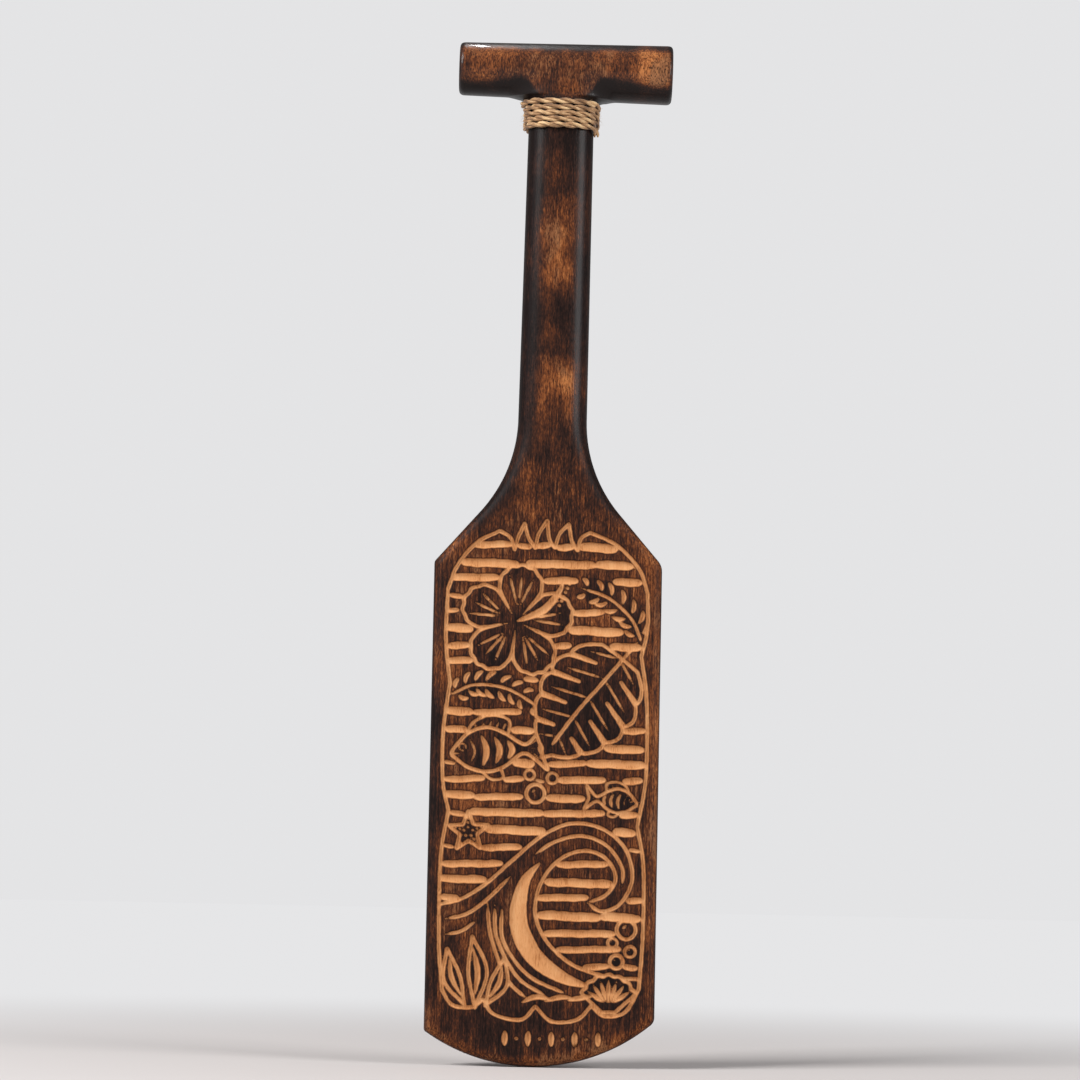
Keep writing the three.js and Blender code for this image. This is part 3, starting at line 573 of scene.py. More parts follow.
def design():
    """The whole carving. What is drawn first lies in front."""
    c = Carving()
    edge = panel()
    hibiscus(c, (-15, 214), 27.5, 12)
    split_leaf(c, (37, 199), 60, 47, 233)
    star(c, (-36, 112), 10, 20)
    fish(c, (-45, 150), 46, 4, 1, GROOVE)
    fish(c, (45, 127), 25, 174, -1, FINE_GROOVE)
    frond(c, [(-46, 178), (-34, 183), (-18, 181), (-2, 172)], 8, 8.0)
    frond(c, [(46, 205), (41, 216), (30, 226), (16, 231)], 7, 8.5)
    bubbles(c, [(-4, 131, 4.4), (4, 138.5, 2.6), (-7, 140, 2.4)])
    bubbles(c, [(41, 66.5, 4.6), (34.5, 60, 2.3), (43, 56, 2.6), (36.5, 51, 3.2)])
    blade_leaf(c, (-36, 29), (-45, 56), 2, 8)
    blade_leaf(c, (-31, 28), (-33, 62), -2, 9)
    blade_leaf(c, (-26, 29), (-17, 52), -2, 8)
    for k in range(3):
        foam = [(-9 + 11 * k, 30.5 + 0.8 * k), (-2 + 11 * k, 33.5), (6 + 10 * k, 32.5 + k)]
        c.brush(spline(foam), 3.0, 0.6)
    shell(c, (33, 31), 14, 90)
    c.regions.append(wave(c))
    water(c, edge)
    c.regions.pop()
    c.line(edge, GROOVE, (0, 0))
    chip_row(c, 6, 13.6)
    return c


def distance_field(carving, xs, zs):
    """Signed distance to the nearest cut's edge on a grid, negative inside a cut."""
    field = np.full((len(zs), len(xs)), FIELD_REACH)
    step = xs[1] - xs[0]

    def window(axis, a, b, reach):
        """The part of an axis from reach before a piece of a stroke to reach after it."""
        first = max(int((min(a, b) - reach - axis[0]) / step), 0)
        return slice(first, max(int((max(a, b) + reach - axis[0]) / step) + 2, first))

    for pts, widths in carving.strokes:
        for a, b, wa, wb in zip(pts[:-1], pts[1:], widths[:-1], widths[1:]):
            reach = max(wa, wb) / 2 + FIELD_REACH
            i, j = window(xs, a[0], b[0], reach), window(zs, a[1], b[1], reach)
            x, z, d = xs[None, i] - a[0], zs[j, None] - a[1], b - a
            t = np.clip((x * d[0] + z * d[1]) / max(d @ d, 1e-9), 0, 1)
            away = np.hypot(x - t * d[0], z - t * d[1]) - (wa + (wb - wa) * t) / 2
            field[j, i] = np.minimum(field[j, i], away)
    return field


def ripple(x, z, cell, seed):
    """Smooth noise in the plane, from -1 to 1, with bumps about a cell wide."""
    knots = np.random.default_rng(seed).uniform(-1, 1, (KNOTS, KNOTS))
    u, v = x / cell + KNOTS / 2, z / cell + 4
    i, j = (np.floor(w).astype(int) % (KNOTS - 1) for w in (u, v))
    return bilinear(knots, i, j, smooth(u - np.floor(u)), smooth(v - np.floor(v)))


class CutMap:
    """The carving's distance field, read anywhere on the face."""

    def __init__(self, carving):
        half = BLADE_WIDTH / 2 + 1
        self.xs = np.arange(-half, half, FIELD_STEP)
        self.zs = np.arange(-1, FINE_TOP + 4, FIELD_STEP)
        field = distance_field(carving, self.xs, self.zs)
        x, z = np.meshgrid(self.xs, self.zs)
        field += RIM_WOBBLE * (ripple(x, z, 1.9, 1) + 0.6 * ripple(x, z, 0.8, 2))
        self.field = field
        self.slope_z, self.slope_x = np.gradient(field, FIELD_STEP)
        self.raised = np.zeros(field.shape)
        few_x, few_z = (grid[::REGION_STEP, ::REGION_STEP] for grid in (x, z))
        few = np.column_stack([few_x.ravel(), few_z.ravel()])
        for region in carving.regions:
            shape = inside(few, region).reshape(few_x.shape).astype(float)
            whole = np.kron(shape, np.ones((REGION_STEP, REGION_STEP)))
            self.raised = np.maximum(self.raised, whole[:x.shape[0], :x.shape[1]])

    def read(self, grid, x, z):
        u = np.clip((x - self.xs[0]) / FIELD_STEP, 0, len(self.xs) - 1.001)
        v = np.clip((z - self.zs[0]) / FIELD_STEP, 0, len(self.zs) - 1.001)
        i, j = u.astype(int), v.astype(int)
        return bilinear(grid, i, j, u - i, v - j)

    def snap(self, x, z):
        """Slides points that lie near a cut's rim onto the rim."""
        f, gx, gz = (self.read(grid, x, z) for grid in (self.field, self.slope_x, self.slope_z))
        steep = gx * gx + gz * gz
        near = (np.abs(f) < SNAP_REACH) & (steep > SNAP_STEEPNESS)
        move = np.where(near, -f / np.maximum(steep, SNAP_STEEPNESS), 0)
        return x + move * gx, z + move * gz


def slimness(z):
    """How far the section has turned from the blade's into the shaft's, 0 to 1."""
    return smooth(np.clip((z - SWELL_FROM) / (SWELL_TO - SWELL_FROM), 0, 1))


def half_thickness(z):
    return lerp(BLADE_THICKNESS, SHAFT_THICKNESS, slimness(z)) / 2


def shaft_half_width(z):
    share = (z - FLARE_TOP) / (JOINT_HEIGHT - FLARE_TOP)
    return lerp(SHAFT_FOOT_WIDTH, SHAFT_TOP_WIDTH, share) / 2


def drift(z):
    """How far the shaft's middle has moved to the right."""
    return SHAFT_DRIFT * np.maximum(0, (z - SHOULDER_HEIGHT) / (JOINT_HEIGHT - SHOULDER_HEIGHT))


def band_width(z):
    """The width of the eased band along the outline, which takes up all of the shaft."""
    return lerp(EDGE_BAND, shaft_half_width(z), slimness(z))


def side_outline(tip_x, tip_corner, shoulder_corner):
    """One side's outline from the tip to the joint, with x outwards: rows of x, z and the
    point where the eased band ends on the flat face."""
    rows = []

    def add(x, z, angle):
        band = band_width(z)
        rows.append((x, z, x - band * math.cos(angle), z - band * math.sin(angle)))

    def corner(x, z, start, end, radius, steps):
        middle, bend = (start + end) / 2, (end - start) / 2
        mitre, centre = band_width(z) / math.cos(bend), radius / math.cos(bend)
        for angle in np.linspace(start, end, steps + 1):
            rows.append((
                x - centre * math.cos(middle) + radius * math.cos(angle),
                z - centre * math.sin(middle) + radius * math.sin(angle),
                x - mitre * math.cos(middle),
                z - mitre * math.sin(middle),
            ))

    half = BLADE_WIDTH / 2
    foot = -math.pi / 2
    tip_angle = math.asin((half - tip_x) / TIP_RADIUS)
    last_turn = math.asin((half - tip_x - EDGE_BAND - FOOT_MARGIN) / (TIP_RADIUS - EDGE_BAND))
    for turn in np.linspace(0, last_turn, FOOT_ROWS):
        add(tip_x + TIP_RADIUS * math.sin(turn), TIP_RADIUS * (1 - math.cos(turn)), foot + turn)
    side_foot = TIP_RADIUS * (1 - math.cos(tip_angle))
    corner(half, side_foot, foot + tip_angle, 0, tip_corner, TIP_CORNER_ROWS)
    side_top = SHOULDER_HEIGHT - EDGE_BAND * math.tan(SHOULDER_ANGLE / 2)
    for z in np.linspace(rows[-1][3], side_top, SIDE_ROWS + 2)[1:-1]:
        add(half, z, 0)
    corner(half, SHOULDER_HEIGHT, 0, SHOULDER_ANGLE, shoulder_corner, SHOULDER_CORNER_ROWS)
    x0, z0 = rows[-1][:2]
    x1, z1 = SHAFT_FOOT_WIDTH / 2 + FLARE_SPREAD, FLARE_TOP - FLARE_RISE
    for t in np.linspace(0, 1, SLOPE_ROWS + 1)[1:]:
        add(lerp(x0, x1, t), lerp(z0, z1, t), SHOULDER_ANGLE)
    for turn in np.linspace(SHOULDER_ANGLE, 0, FLARE_ROWS + 1)[1:]:
        x = SHAFT_FOOT_WIDTH / 2 + FLARE_RADIUS * (1 - math.cos(turn))
        add(x, FLARE_TOP - FLARE_RADIUS * math.sin(turn), turn)
    for z in np.linspace(FLARE_TOP, JOINT_HEIGHT, SHAFT_ROWS + 1)[1:]:
        add(shaft_half_width(z), z, 0)
    return rows


def outline():
    """Both sides row by row, without the rows whose flat would fold back."""
    right = side_outline(-TIP_OFFSET, RIGHT_TIP_CORNER, RIGHT_SHOULDER_CORNER)
    left = side_outline(TIP_OFFSET, LEFT_TIP_CORNER, LEFT_SHOULDER_CORNER)
    kept = [0]
    for i in range(1, len(right)):
        if all(side[i][3] >= side[kept[-1]][3] for side in (right, left)):
            kept.append(i)
    return np.array(right)[kept], np.array(left)[kept]


def band_turns():
    """Turns along the band's curve that space its points evenly."""
    fine = np.linspace(0, math.pi / 2, 2001)
    power = 2 / BAND_SPACING
    x, y = np.cos(fine) ** power, np.sin(fine) ** power
    along = running(np.hypot(np.diff(x), np.diff(y)))
    return np.interp(np.linspace(0, along[-1], BAND_STEPS + 1), along, fine)


def band_rows(side):
    """The eased band's points inwards from one side's rows: x, rise, z and distance in."""
    x, z, inner_x, inner_z = (side[:, k, None] for k in range(4))
    turns = band_turns()[None, :]
    power = 2 / lerp(EDGE_FULLNESS, SHAFT_FULLNESS, slimness(z))
    rise, inward = np.sin(turns) ** power, 1 - np.cos(turns).clip(0) ** power
    return lerp(x, inner_x, inward), rise, lerp(z, inner_z, inward), inward * band_width(z)


def face_rows(right, left, columns):
    """Points of one face, a row for each outline row, from the right edge to the left one:
    x, share of the half thickness, z and the distance in from the outline."""
    x, rise, z, inward = band_rows(right)
    far_x, far_rise, far_z, far_inward = band_rows(left)
    share = np.linspace(0, 1, columns + 1)[None, 1:-1]
    flat_x = lerp(x[:, -1:], -far_x[:, -1:], share)
    flat_in = np.minimum(
        inward[:, -1:] + x[:, -1:] - flat_x,
        far_inward[:, -1:] + far_x[:, -1:] + flat_x,
    )
    return (
        np.hstack([x, flat_x, -far_x[:, ::-1]]),
        np.hstack([rise, np.ones_like(flat_x), far_rise[:, ::-1]]),
        np.hstack([z, lerp(z[:, -1:], far_z[:, -1:], share), far_z[:, ::-1]]),
        np.hstack([inward, flat_in, far_inward[:, ::-1]]),
    )


def add_object(name, data):
    obj = bpy.data.objects.new(name, data)
    bpy.context.collection.objects.link(obj)
    return obj


def mesh_object(name, points, faces, attributes):
    """A mesh object from millimetre points, with doubled points merged."""
    mesh = bpy.data.meshes.new(name)
    mesh.from_pydata((np.asarray(points) * MM).tolist(), [], faces)
    for key, values in attributes.items():
        layer = mesh.attributes.new(key, "FLOAT", "POINT")
        layer.data.foreach_set("value", np.asarray(values, np.float32))
    bm = bmesh.new()
    bm.from_mesh(mesh)
    bmesh.ops.remove_doubles(bm, verts=bm.verts, dist=MERGE_METRES)
    bmesh.ops.recalc_face_normals(bm, faces=bm.faces)
    bm.to_mesh(mesh)
    bm.free()
    mesh.polygons.foreach_set("use_smooth", [True] * len(mesh.polygons))
    return add_object(name, mesh)


def blade_and_shaft(cuts):
    """The board: a finely carved front up to the shoulders, and plainer rows elsewhere."""
    right, left = outline()
    count = len(right)
    fine_rows = int(np.argmax(right[:, 3] > FINE_TOP)) + 1
    points, faces = [], []
    layers = {"cut": [], "edge": [], "raised": []}

    def put(x, y, z, *values):
        start = len(points)
        points.extend(zip(x.ravel(), y.ravel(), z.ravel()))
        for layer, value in zip(layers.values(), values):
            layer.extend(value.ravel())
        return start + np.arange(x.size).reshape(x.shape)

    def front(rows, columns):
        x, rise, z, edge = face_rows(right[rows], left[rows], columns)
        moved_x, moved_z = cuts.snap(x, z)
        inner = edge > SNAP_MARGIN
        x, z = np.where(inner, moved_x, x), np.where(inner, moved_z, z)
        cut = cuts.read(cuts.field, x, z)
        cut = np.where(z > FINE_TOP + 2, FIELD_REACH, cut)
        sunk = CUT_DEPTH * (1 - np.exp(np.minimum(cut, 0) / CUT_WALL))
        raised = cuts.read(cuts.raised, x, z)
        return put(x + drift(z), -half_thickness(z) * rise + sunk, z, cut, edge, raised)

    def back(rows):
        x, rise, z, edge = face_rows(right[rows], left[rows], BACK_COLUMNS)
        uncut = np.full_like(x, FIELD_REACH)
        return put(x + drift(z), half_thickness(z) * rise, z, uncut, edge, 0 * x)

    def quads(grid, columns, flip=False):
        low, high = grid[:-1], grid[1:]
        for i in columns:
            for a, b, c, d in zip(low[:, i], low[:, i + 1], high[:, i + 1], high[:, i]):
                faces.append((d, c, b, a) if flip else (a, b, c, d))

    fine = front(range(fine_rows), FINE_COLUMNS)
    coarse = front(range(fine_rows - 1, count), COARSE_COLUMNS)
    quads(fine, range(fine.shape[1] - 1))
    quads(coarse[1:], range(coarse.shape[1] - 1))
    # The row where the front's fine columns meet its coarse ones.
    ratio = FINE_COLUMNS // COARSE_COLUMNS
    seam, above = fine[-1], coarse[1]
    for i in range(BAND_STEPS):
        faces.append((seam[i], seam[i + 1], above[i + 1], above[i]))
        j, k = fine.shape[1] - 1 - i, coarse.shape[1] - 1 - i
        faces.append((seam[j - 1], seam[j], above[k], above[k - 1]))
    for i in range(COARSE_COLUMNS):
        run = seam[BAND_STEPS + i * ratio:BAND_STEPS + (i + 1) * ratio + 1]
        faces.append((*run, above[BAND_STEPS + i + 1], above[BAND_STEPS + i]))
    # The back has a quarter of the rows, and meets the front along the outline.
    picked = sorted({*range(0, fine_rows, BACK_ROWS_EACH), *range(fine_rows - 1, count)})
    rear = back(picked)
    inner = range(1, rear.shape[1] - 2)
    quads(rear, inner, flip=True)
    edge_rows = [(fine[r] if r < fine_rows else coarse[r - fine_rows + 1]) for r in range(count)]
    for k, (r, s) in enumerate(zip(picked[:-1], picked[1:])):
        on_right = [edge_rows[t][0] for t in range(r, s + 1)]
        on_left = [edge_rows[t][-1] for t in range(r, s + 1)]
        faces.append((*on_right, rear[k + 1, 1], rear[k, 1]))
        faces.append((*on_left[::-1], rear[k, -2], rear[k + 1, -2]))
    top = [*coarse[-1], *rear[-1, 1:-1][::-1]]
    bore_joint(points, faces, top, drift(JOINT_HEIGHT), JOINT_HEIGHT)
    added = len(points) - len(layers["cut"])
    for layer, value in zip(layers.values(), (FIELD_REACH, JOINT_EDGE, 0.0)):
        layer.extend([value] * added)
    return mesh_object("paddle_board", points, faces, layers)


def bore_joint(points, faces, rim, x, z):
    """Closes the shaft's top round the dowel's bore."""
    unique = []
    for i in rim:
        if not unique or math.dist(points[i], points[unique[-1]]) > SAME_POINT:
            unique.append(i)
    if math.dist(points[unique[0]], points[unique[-1]]) < SAME_POINT:
        unique.pop()
    radius, depth = DOWEL_RADIUS + GLUE_GAP, DOWEL_LENGTH / 2 + GLUE_GAP
    rings = [unique]
    for height in (z, z - depth):
        ring = []
        for i in unique:
            angle = math.atan2(points[i][1], points[i][0] - x)
            ring.append(len(points))
            points.append((x + radius * math.cos(angle), radius * math.sin(angle), height))
        rings.append(ring)
    count = len(unique)
    for outer, inner in zip(rings[:-1], rings[1:]):
        for i in range(count):
            j = (i + 1) % count
            faces.append((outer[i], outer[j], inner[j], inner[i]))
    faces.append(tuple(rings[-1]))


def neck_size(height):
    """Half the neck's width and thickness at a height over the joint."""
    rise = np.clip(height - (NECK_LENGTH - NECK_FILLET), 0, NECK_FILLET)
    spread = NECK_FILLET - np.sqrt(np.maximum(NECK_FILLET**2 - rise**2, 0))
    return SHAFT_TOP_WIDTH / 2 + spread, SHAFT_THICKNESS / 2 + NECK_SWELL * spread / NECK_FILLET


def grip_field(x, y, z):
    """The grip's surface as the zero of a distance, in the frame of the joint."""
    axis_z = NECK_LENGTH + GRIP_RADIUS
    half = GRIP_LENGTH / 2
    # The axis slopes down to the thicker right end, so that the top lies level.
    aside, over = x - GRIP_OFFSET, z - axis_z
    along = aside * math.cos(GRIP_TAPER) - over * math.sin(GRIP_TAPER)
    upward = aside * math.sin(GRIP_TAPER) + over * math.cos(GRIP_TAPER)
    widening = (GRIP_RIGHT_RADIUS - GRIP_LEFT_RADIUS) / 2 / (half - GRIP_END_ROUND)
    ring = np.hypot(y, upward)
    bar = ring - GRIP_RADIUS - widening * along
    # Ends with rounded rims, and the flat planed along the top.
    bar = round_max(bar, np.abs(along) - half, GRIP_END_ROUND * 2.2)
    bar = round_max(bar, z - (OVERALL_LENGTH - JOINT_HEIGHT), 0.5)
    tipped = math.tan(2 * GRIP_TAPER) * np.clip(z / NECK_LENGTH, 0, 1) * aside
    half_width, half_depth = neck_size(z + tipped)
    n = SHAFT_FULLNESS
    u, v = np.abs(x) / half_width, np.abs(y) / half_depth
    size = np.maximum((u**n + v**n) ** (1 / n), 1e-6)
    slope_x = (u / size) ** (n - 1) / half_width
    slope_y = (v / size) ** (n - 1) / half_depth
    steep = np.maximum(np.hypot(slope_x, slope_y), 1e-3)
    neck = (size - 1) / steep
    neck = np.maximum(neck, np.maximum(GLUE_GAP - z, over))
    # The two blend where their faces meet at an angle, and not where they lie flush.
    facing = np.abs(y) / np.maximum(ring, 1e-6) * slope_y / steep
    reach = GRIP_BLEND * np.sqrt(np.clip(1 - facing, 0.01, 1))
    share = np.clip(0.5 + 0.5 * (neck - bar) / reach, 0, 1)
    wood = lerp(neck, bar, share) - reach * share * (1 - share)
    bore = np.maximum(np.hypot(x, y) - DOWEL_RADIUS - GLUE_GAP, z - DOWEL_LENGTH / 2 - GLUE_GAP)
    return np.maximum(wood, -bore)


def round_max(a, b, reach):
    """The larger of two distances, rounded where they are near each other."""
    share = np.clip(0.5 - 0.5 * (b - a) / reach, 0, 1)
    return lerp(b, a, share) + reach * share * (1 - share)


def surface_net(field, low, high, step):
    """Quads over the zero of a field, with their points drawn onto it."""
    axes = [np.arange(a, b + step, step) for a, b in zip(low, high)]
    grid = np.stack(np.meshgrid(*axes, indexing="ij"), -1)
    value = field(grid[..., 0], grid[..., 1], grid[..., 2])
    inside = value < 0
    shape = tuple(n - 1 for n in value.shape)
    total, count = np.zeros((*shape, 3)), np.zeros(shape)

    def corner(block, shift):
        return block[tuple(slice(s, s + n) for s, n in zip(shift, shape))]

    for axis in range(3):
        for sides in ((0, 0), (0, 1), (1, 0), (1, 1)):
            here, ahead = np.insert(sides, axis, 0), np.insert(sides, axis, 1)
            a, b = corner(value, here), corner(value, ahead)
            crossed = corner(inside, here) != corner(inside, ahead)
            t = np.where(crossed, a / np.where(crossed, a - b, 1), 0)
            spot = corner(grid, here) + 0.0
            spot[..., axis] += t * step
            total += np.where(crossed[..., None], spot, 0)
            count += crossed
    active = count > 0
    index = np.full(shape, -1)
    index[active] = np.arange(int(active.sum()))
    points = total[active] / count[active][:, None]
    faces = []
    for axis in range(3):
        j, k = (axis + 1) % 3, (axis + 2) % 3
        cells = [np.roll(c, axis) for c in ((0, -1, -1), (0, 0, -1), (0, 0, 0), (0, -1, 0))]
        for c in np.argwhere(np.diff(inside, axis=axis)):
            if 1 <= c[j] < shape[j] and 1 <= c[k] < shape[k]:
                quad = [int(index[tuple(c + cell)]) for cell in cells]
                faces.append(tuple(quad if inside[tuple(c)] else quad[::-1]))
    for _ in range(NET_PASSES):
        base = field(*points.T)
        slope = np.stack([
            field(*(points + nudge).T) - field(*(points - nudge).T) for nudge in NUDGE * np.eye(3)
        ], -1) / (2 * NUDGE)
        steep = np.maximum((slope**2).sum(-1, keepdims=True), 0.3)
        points = points - np.clip(base[:, None] * slope / steep, -step / 2, step / 2)
    return points, faces


def grip():
    """The bar and its neck as one blended form."""
    reach = GRIP_LENGTH / 2 + 2
    low = (GRIP_OFFSET - reach, -GRIP_ROOM, -1)
    high = (GRIP_OFFSET + reach, GRIP_ROOM, OVERALL_LENGTH - JOINT_HEIGHT + 1)
    points, faces = surface_net(grip_field, low, high, GRIP_CELL)
    points = points + (drift(JOINT_HEIGHT), 0, JOINT_HEIGHT)
    return mesh_object("grip_bar", points, faces, {})


def cord_path():
    """The lashing's centreline, wound down round the neck, with a short tail."""
    def point(turns, height):
        out = CORD_DIAMETER / 2 + CORD_CLEARANCE
        half_width, half_depth = neck_size(height + CORD_DIAMETER / 2)
        angle = 2 * math.pi * (0.25 + turns)
        power = 2 / SHAFT_FULLNESS
        c, s = math.cos(angle), math.sin(angle)
        x = (half_width + out) * math.copysign(abs(c) ** power, c)
        y = (half_depth + out) * math.copysign(abs(s) ** power, s)
        return x + drift(JOINT_HEIGHT), y, height + JOINT_HEIGHT

    top = CORD_TURNS * CORD_PITCH / 2
    steps = round(CORD_TURNS * CORD_STEPS)
    path = []
    for i in range(steps + 1):
        turns = CORD_TURNS * i / steps
        path.append(point(turns, top - turns * CORD_PITCH))
    for t in np.linspace(0, 1, TAIL_STEPS + 1)[1:]:
        path.append(point(CORD_TURNS + TAIL_SWEEP * t * (2 - t), -top - TAIL_DROP * t**2))
    return np.array(path, float)


def smooth_path(path, spacing):
    """The path with even spacing and its corners eased, and each point's distance along it."""
    along = running(np.linalg.norm(np.diff(path, axis=0), axis=1))
    even = np.linspace(0, along[-1], int(along[-1] / spacing) + 1)
    path = np.stack([np.interp(even, along, path[:, k]) for k in range(3)], -1)
    for _ in range(6):
        path[1:-1] = (path[:-2] + 2 * path[1:-1] + path[2:]) / 4
    return path, even


def lashing():
    """Two twisted strands along the centreline, with fibres that stand off it."""
    path, along = smooth_path(cord_path(), ROPE_STEP)
    ahead = np.gradient(path, axis=0)
    ahead /= np.linalg.norm(ahead, axis=1, keepdims=True)
    out = path - np.array([drift(JOINT_HEIGHT), 0, 0])
    out[:, 2] = 0
    out -= (out * ahead).sum(-1, keepdims=True) * ahead
    out /= np.linalg.norm(out, axis=1, keepdims=True)
    side = np.cross(ahead, out)
    rng = np.random.default_rng(11)
    points, faces, run, around, strands = [], [], [], [], []
    ends = np.clip(np.minimum(along, along[-1] - along) / 1.2, 0.25, 1) ** 0.5
    for strand in (0, 1):
        swell = 1 + 0.09 * ripple(along, along * 0 + 40 * strand, 5.0, 21)
        unrest = 0.35 * ripple(along, along * 0, 9.0, 22)
        phase = 2 * math.pi * along / ROPE_LAY + math.pi * strand + unrest
        offset = STRAND_RADIUS * swell
        size = offset * ends
        toward = np.cos(phase)[:, None] * out + np.sin(phase)[:, None] * side
        beside = np.cross(ahead, toward)
        start = len(points)
        for k in range(STRAND_SIDES):
            angle = 2 * math.pi * k / STRAND_SIDES
            furrow = 1 + 0.05 * math.cos(5 * angle + 2 * strand)
            ring = (
                path
                + toward * (offset + size * furrow * math.cos(angle))[:, None]
                + beside * (size * STRAND_WIDENING * furrow * math.sin(angle))[:, None]
            )
            points.extend(map(tuple, ring))
            run.extend(along + 300 * strand)
            around.extend([angle + 0.9 * p for p in phase])
            strands.extend(np.full(len(path), float(strand)))
        count = len(path)
        for k in range(STRAND_SIDES):
            a0 = start + k * count
            b0 = start + ((k + 1) % STRAND_SIDES) * count
            for i in range(count - 1):
                faces.append((a0 + i, a0 + i + 1, b0 + i + 1, b0 + i))
        for i in (0, count - 1):
            faces.append(tuple(start + k * count + i for k in range(STRAND_SIDES)))
    for _ in range(HAIRS):
        fuzz(rng, path, ahead, out, points, faces, run, around, strands)
    layers = {"run": run, "around": around, "strand": strands}
    return mesh_object("cord_lashing", points, faces, layers)


def fuzz(rng, path, ahead, out, points, faces, run, around, strands):
    """One loose fibre: a thin three-sided hair that bends away from the cord."""
    i = rng.integers(4, len(path) - 4)
    length = rng.uniform(0.8, 2.6) if rng.random() < 0.8 else rng.uniform(2.6, 4.6)
    tilt = rng.uniform(-0.9, 0.9)
    rising = np.array([0, 0, tilt])
    root = path[i] + out[i] * ROPE_DIAMETER * 0.46 + rising * 0.9
    heading = out[i] * rng.uniform(0.25, 0.8) + ahead[i] * rng.choice([-1, 1]) + rising
    heading /= np.linalg.norm(heading)
    bend = rng.normal(0, 0.35, 3)
    bend[2] -= 0.15
    across = np.cross(heading, [0.3, 0.2, 0.93])
    across /= np.linalg.norm(across)
    third = np.cross(heading, across)
    start = len(points)
    for step in range(HAIR_STEPS + 1):
        t = step / HAIR_STEPS
        middle = root + heading * length * t + bend * length * 0.5 * t * t
        thick = HAIR_RADIUS * (1 - 0.75 * t)
        for k in range(3):
            a = 2 * math.pi * k / 3
            points.append(tuple(middle + thick * (across * math.cos(a) + third * math.sin(a))))
            run.append(700 + i)
            around.append(a)
            strands.append(2.0)
    for step in range(HAIR_STEPS):
        for k in range(3):
            a, b = start + 3 * step + k, start + 3 * step + (k + 1) % 3
            faces.append((a, b, b + 3, a + 3))
    tip = start + 3 * HAIR_STEPS
    faces.append((start, start + 2, start + 1))
    faces.append((tip, tip + 1, tip + 2))


class Shader:
    """A material's node tree, with one short call for each kind of node."""

    def __init__(self, name):
        self.material = bpy.data.materials.new(name)
        self.material.use_nodes = True
        self.tree = self.material.node_tree
        self.bsdf = self.tree.nodes["Principled BSDF"]
        self.place = self.scaled(self.node("TexCoord").outputs["Object"], (1 / MM,) * 3)
        self.x, self.y, self.z = self.split(self.place)

    def node(self, kind, **settings):
        made = self.tree.nodes.new("ShaderNode" + kind)
        for key, value in settings.items():
            setattr(made, key, value)
        return made

    def feed(self, socket, value):
        if isinstance(value, bpy.types.NodeSocket):
            self.tree.links.new(value, socket)
        else:
            socket.default_value = value

    def set(self, **inputs):
        for key, value in inputs.items():
            self.feed(self.bsdf.inputs[key.replace("_", " ")], value)

    def fill(self, made, *values):
        """Feeds a node's first inputs in order, and returns its outputs."""
        for socket, value in zip(made.inputs, values):
            self.feed(socket, value)
        return made.outputs

    def math(self, operation, *values):
        return self.fill(self.node("Math", operation=operation), *values)[0]

    def times(self, a, b, plus=None):
        """a times b, with plus added where it is given."""
        if plus is None:
            return self.math("MULTIPLY", a, b)
        return self.math("MULTIPLY_ADD", a, b, plus)

    def sway(self, noise, share, base):
        """The base, moved up and down by a share of the noise."""
        return self.times(self.math("SUBTRACT", noise, 0.5), share, base)

    def scaled(self, vector, by):
        return self.fill(self.node("VectorMath", operation="MULTIPLY"), vector, by)[0]

    def split(self, vector):
        return self.fill(self.node("SeparateXYZ"), vector)

    def join(self, x, y, z):
        return self.fill(self.node("CombineXYZ"), x, y, z)[0]

    def read(self, attribute):
        return self.node("Attribute", attribute_name=attribute).outputs["Fac"]

    def noise(self, stretch, detail, rough, warp=0.0, at=None):
        """Noise whose cells are 1/stretch millimetres along each axis."""
        made = self.node("TexNoise")
        self.feed(made.inputs["Vector"], self.scaled(at or self.place, stretch))
        settings = {"Scale": 1.0, "Detail": detail, "Roughness": rough, "Distortion": warp}
        for key, value in settings.items():
            self.feed(made.inputs[key], value)
        return made.outputs["Fac"]

    def band(self, value, start, end, low=0.0, high=1.0):
        """Runs smoothly from low to high as the value goes from start to end."""
        made = self.node("MapRange", interpolation_type="SMOOTHSTEP")
        return self.fill(made, value, start, end, low, high)[0]

    def curve(self, value, stops):
        """A grey value read off along (position, level) stops, with levels from 0 to 1."""
        return self.ramp(value, [(at, (level,) * 3) for at, level in stops])

    def ramp(self, value, stops):
        """A colour read off along (position, colour) stops."""
        made = self.node("ValToRGB")
        made.color_ramp.interpolation = "EASE"
        elements = made.color_ramp.elements
        while len(elements) < len(stops):
            elements.new(0.5)
        for element, (at, colour) in zip(elements, stops):
            element.position = at
            element.color = (*colour, 1)
        return self.fill(made, value)[0]

    def mix(self, share, a, b):
        """From a to b by the share. Each of the two is a socket or a colour."""
        a, b = ((*value, 1) if isinstance(value, tuple) else value for value in (a, b))
        return self.fill(self.node("MixRGB"), share, a, b)[0]

    def bump(self, height, depth, strength):
        """Relief from a height of 0 to 1 that is depth millimetres deep."""
        made = self.node("Bump")
        self.feed(made.inputs["Height"], height)
        made.inputs["Distance"].default_value = depth * MM
        made.inputs["Strength"].default_value = strength
        return made.outputs[0]


# Scorched wood from its darkest to its lightest, the wood under thin stain, and bare wood.
CHAR = (0.0095, 0.0060, 0.0055)
UMBER = (0.027, 0.0122, 0.0090)
BROWN = (0.067, 0.0222, 0.0108)
RUSSET = (0.165, 0.051, 0.017)
AMBER = (0.38, 0.140, 0.045)
TAN = (0.185, 0.092, 0.046)
BARE = (0.545, 0.250, 0.099)
BARE_LIGHT = (0.61, 0.310, 0.136)
BARE_DARK = (0.37, 0.145, 0.050)
RIM = (0.20, 0.072, 0.024)


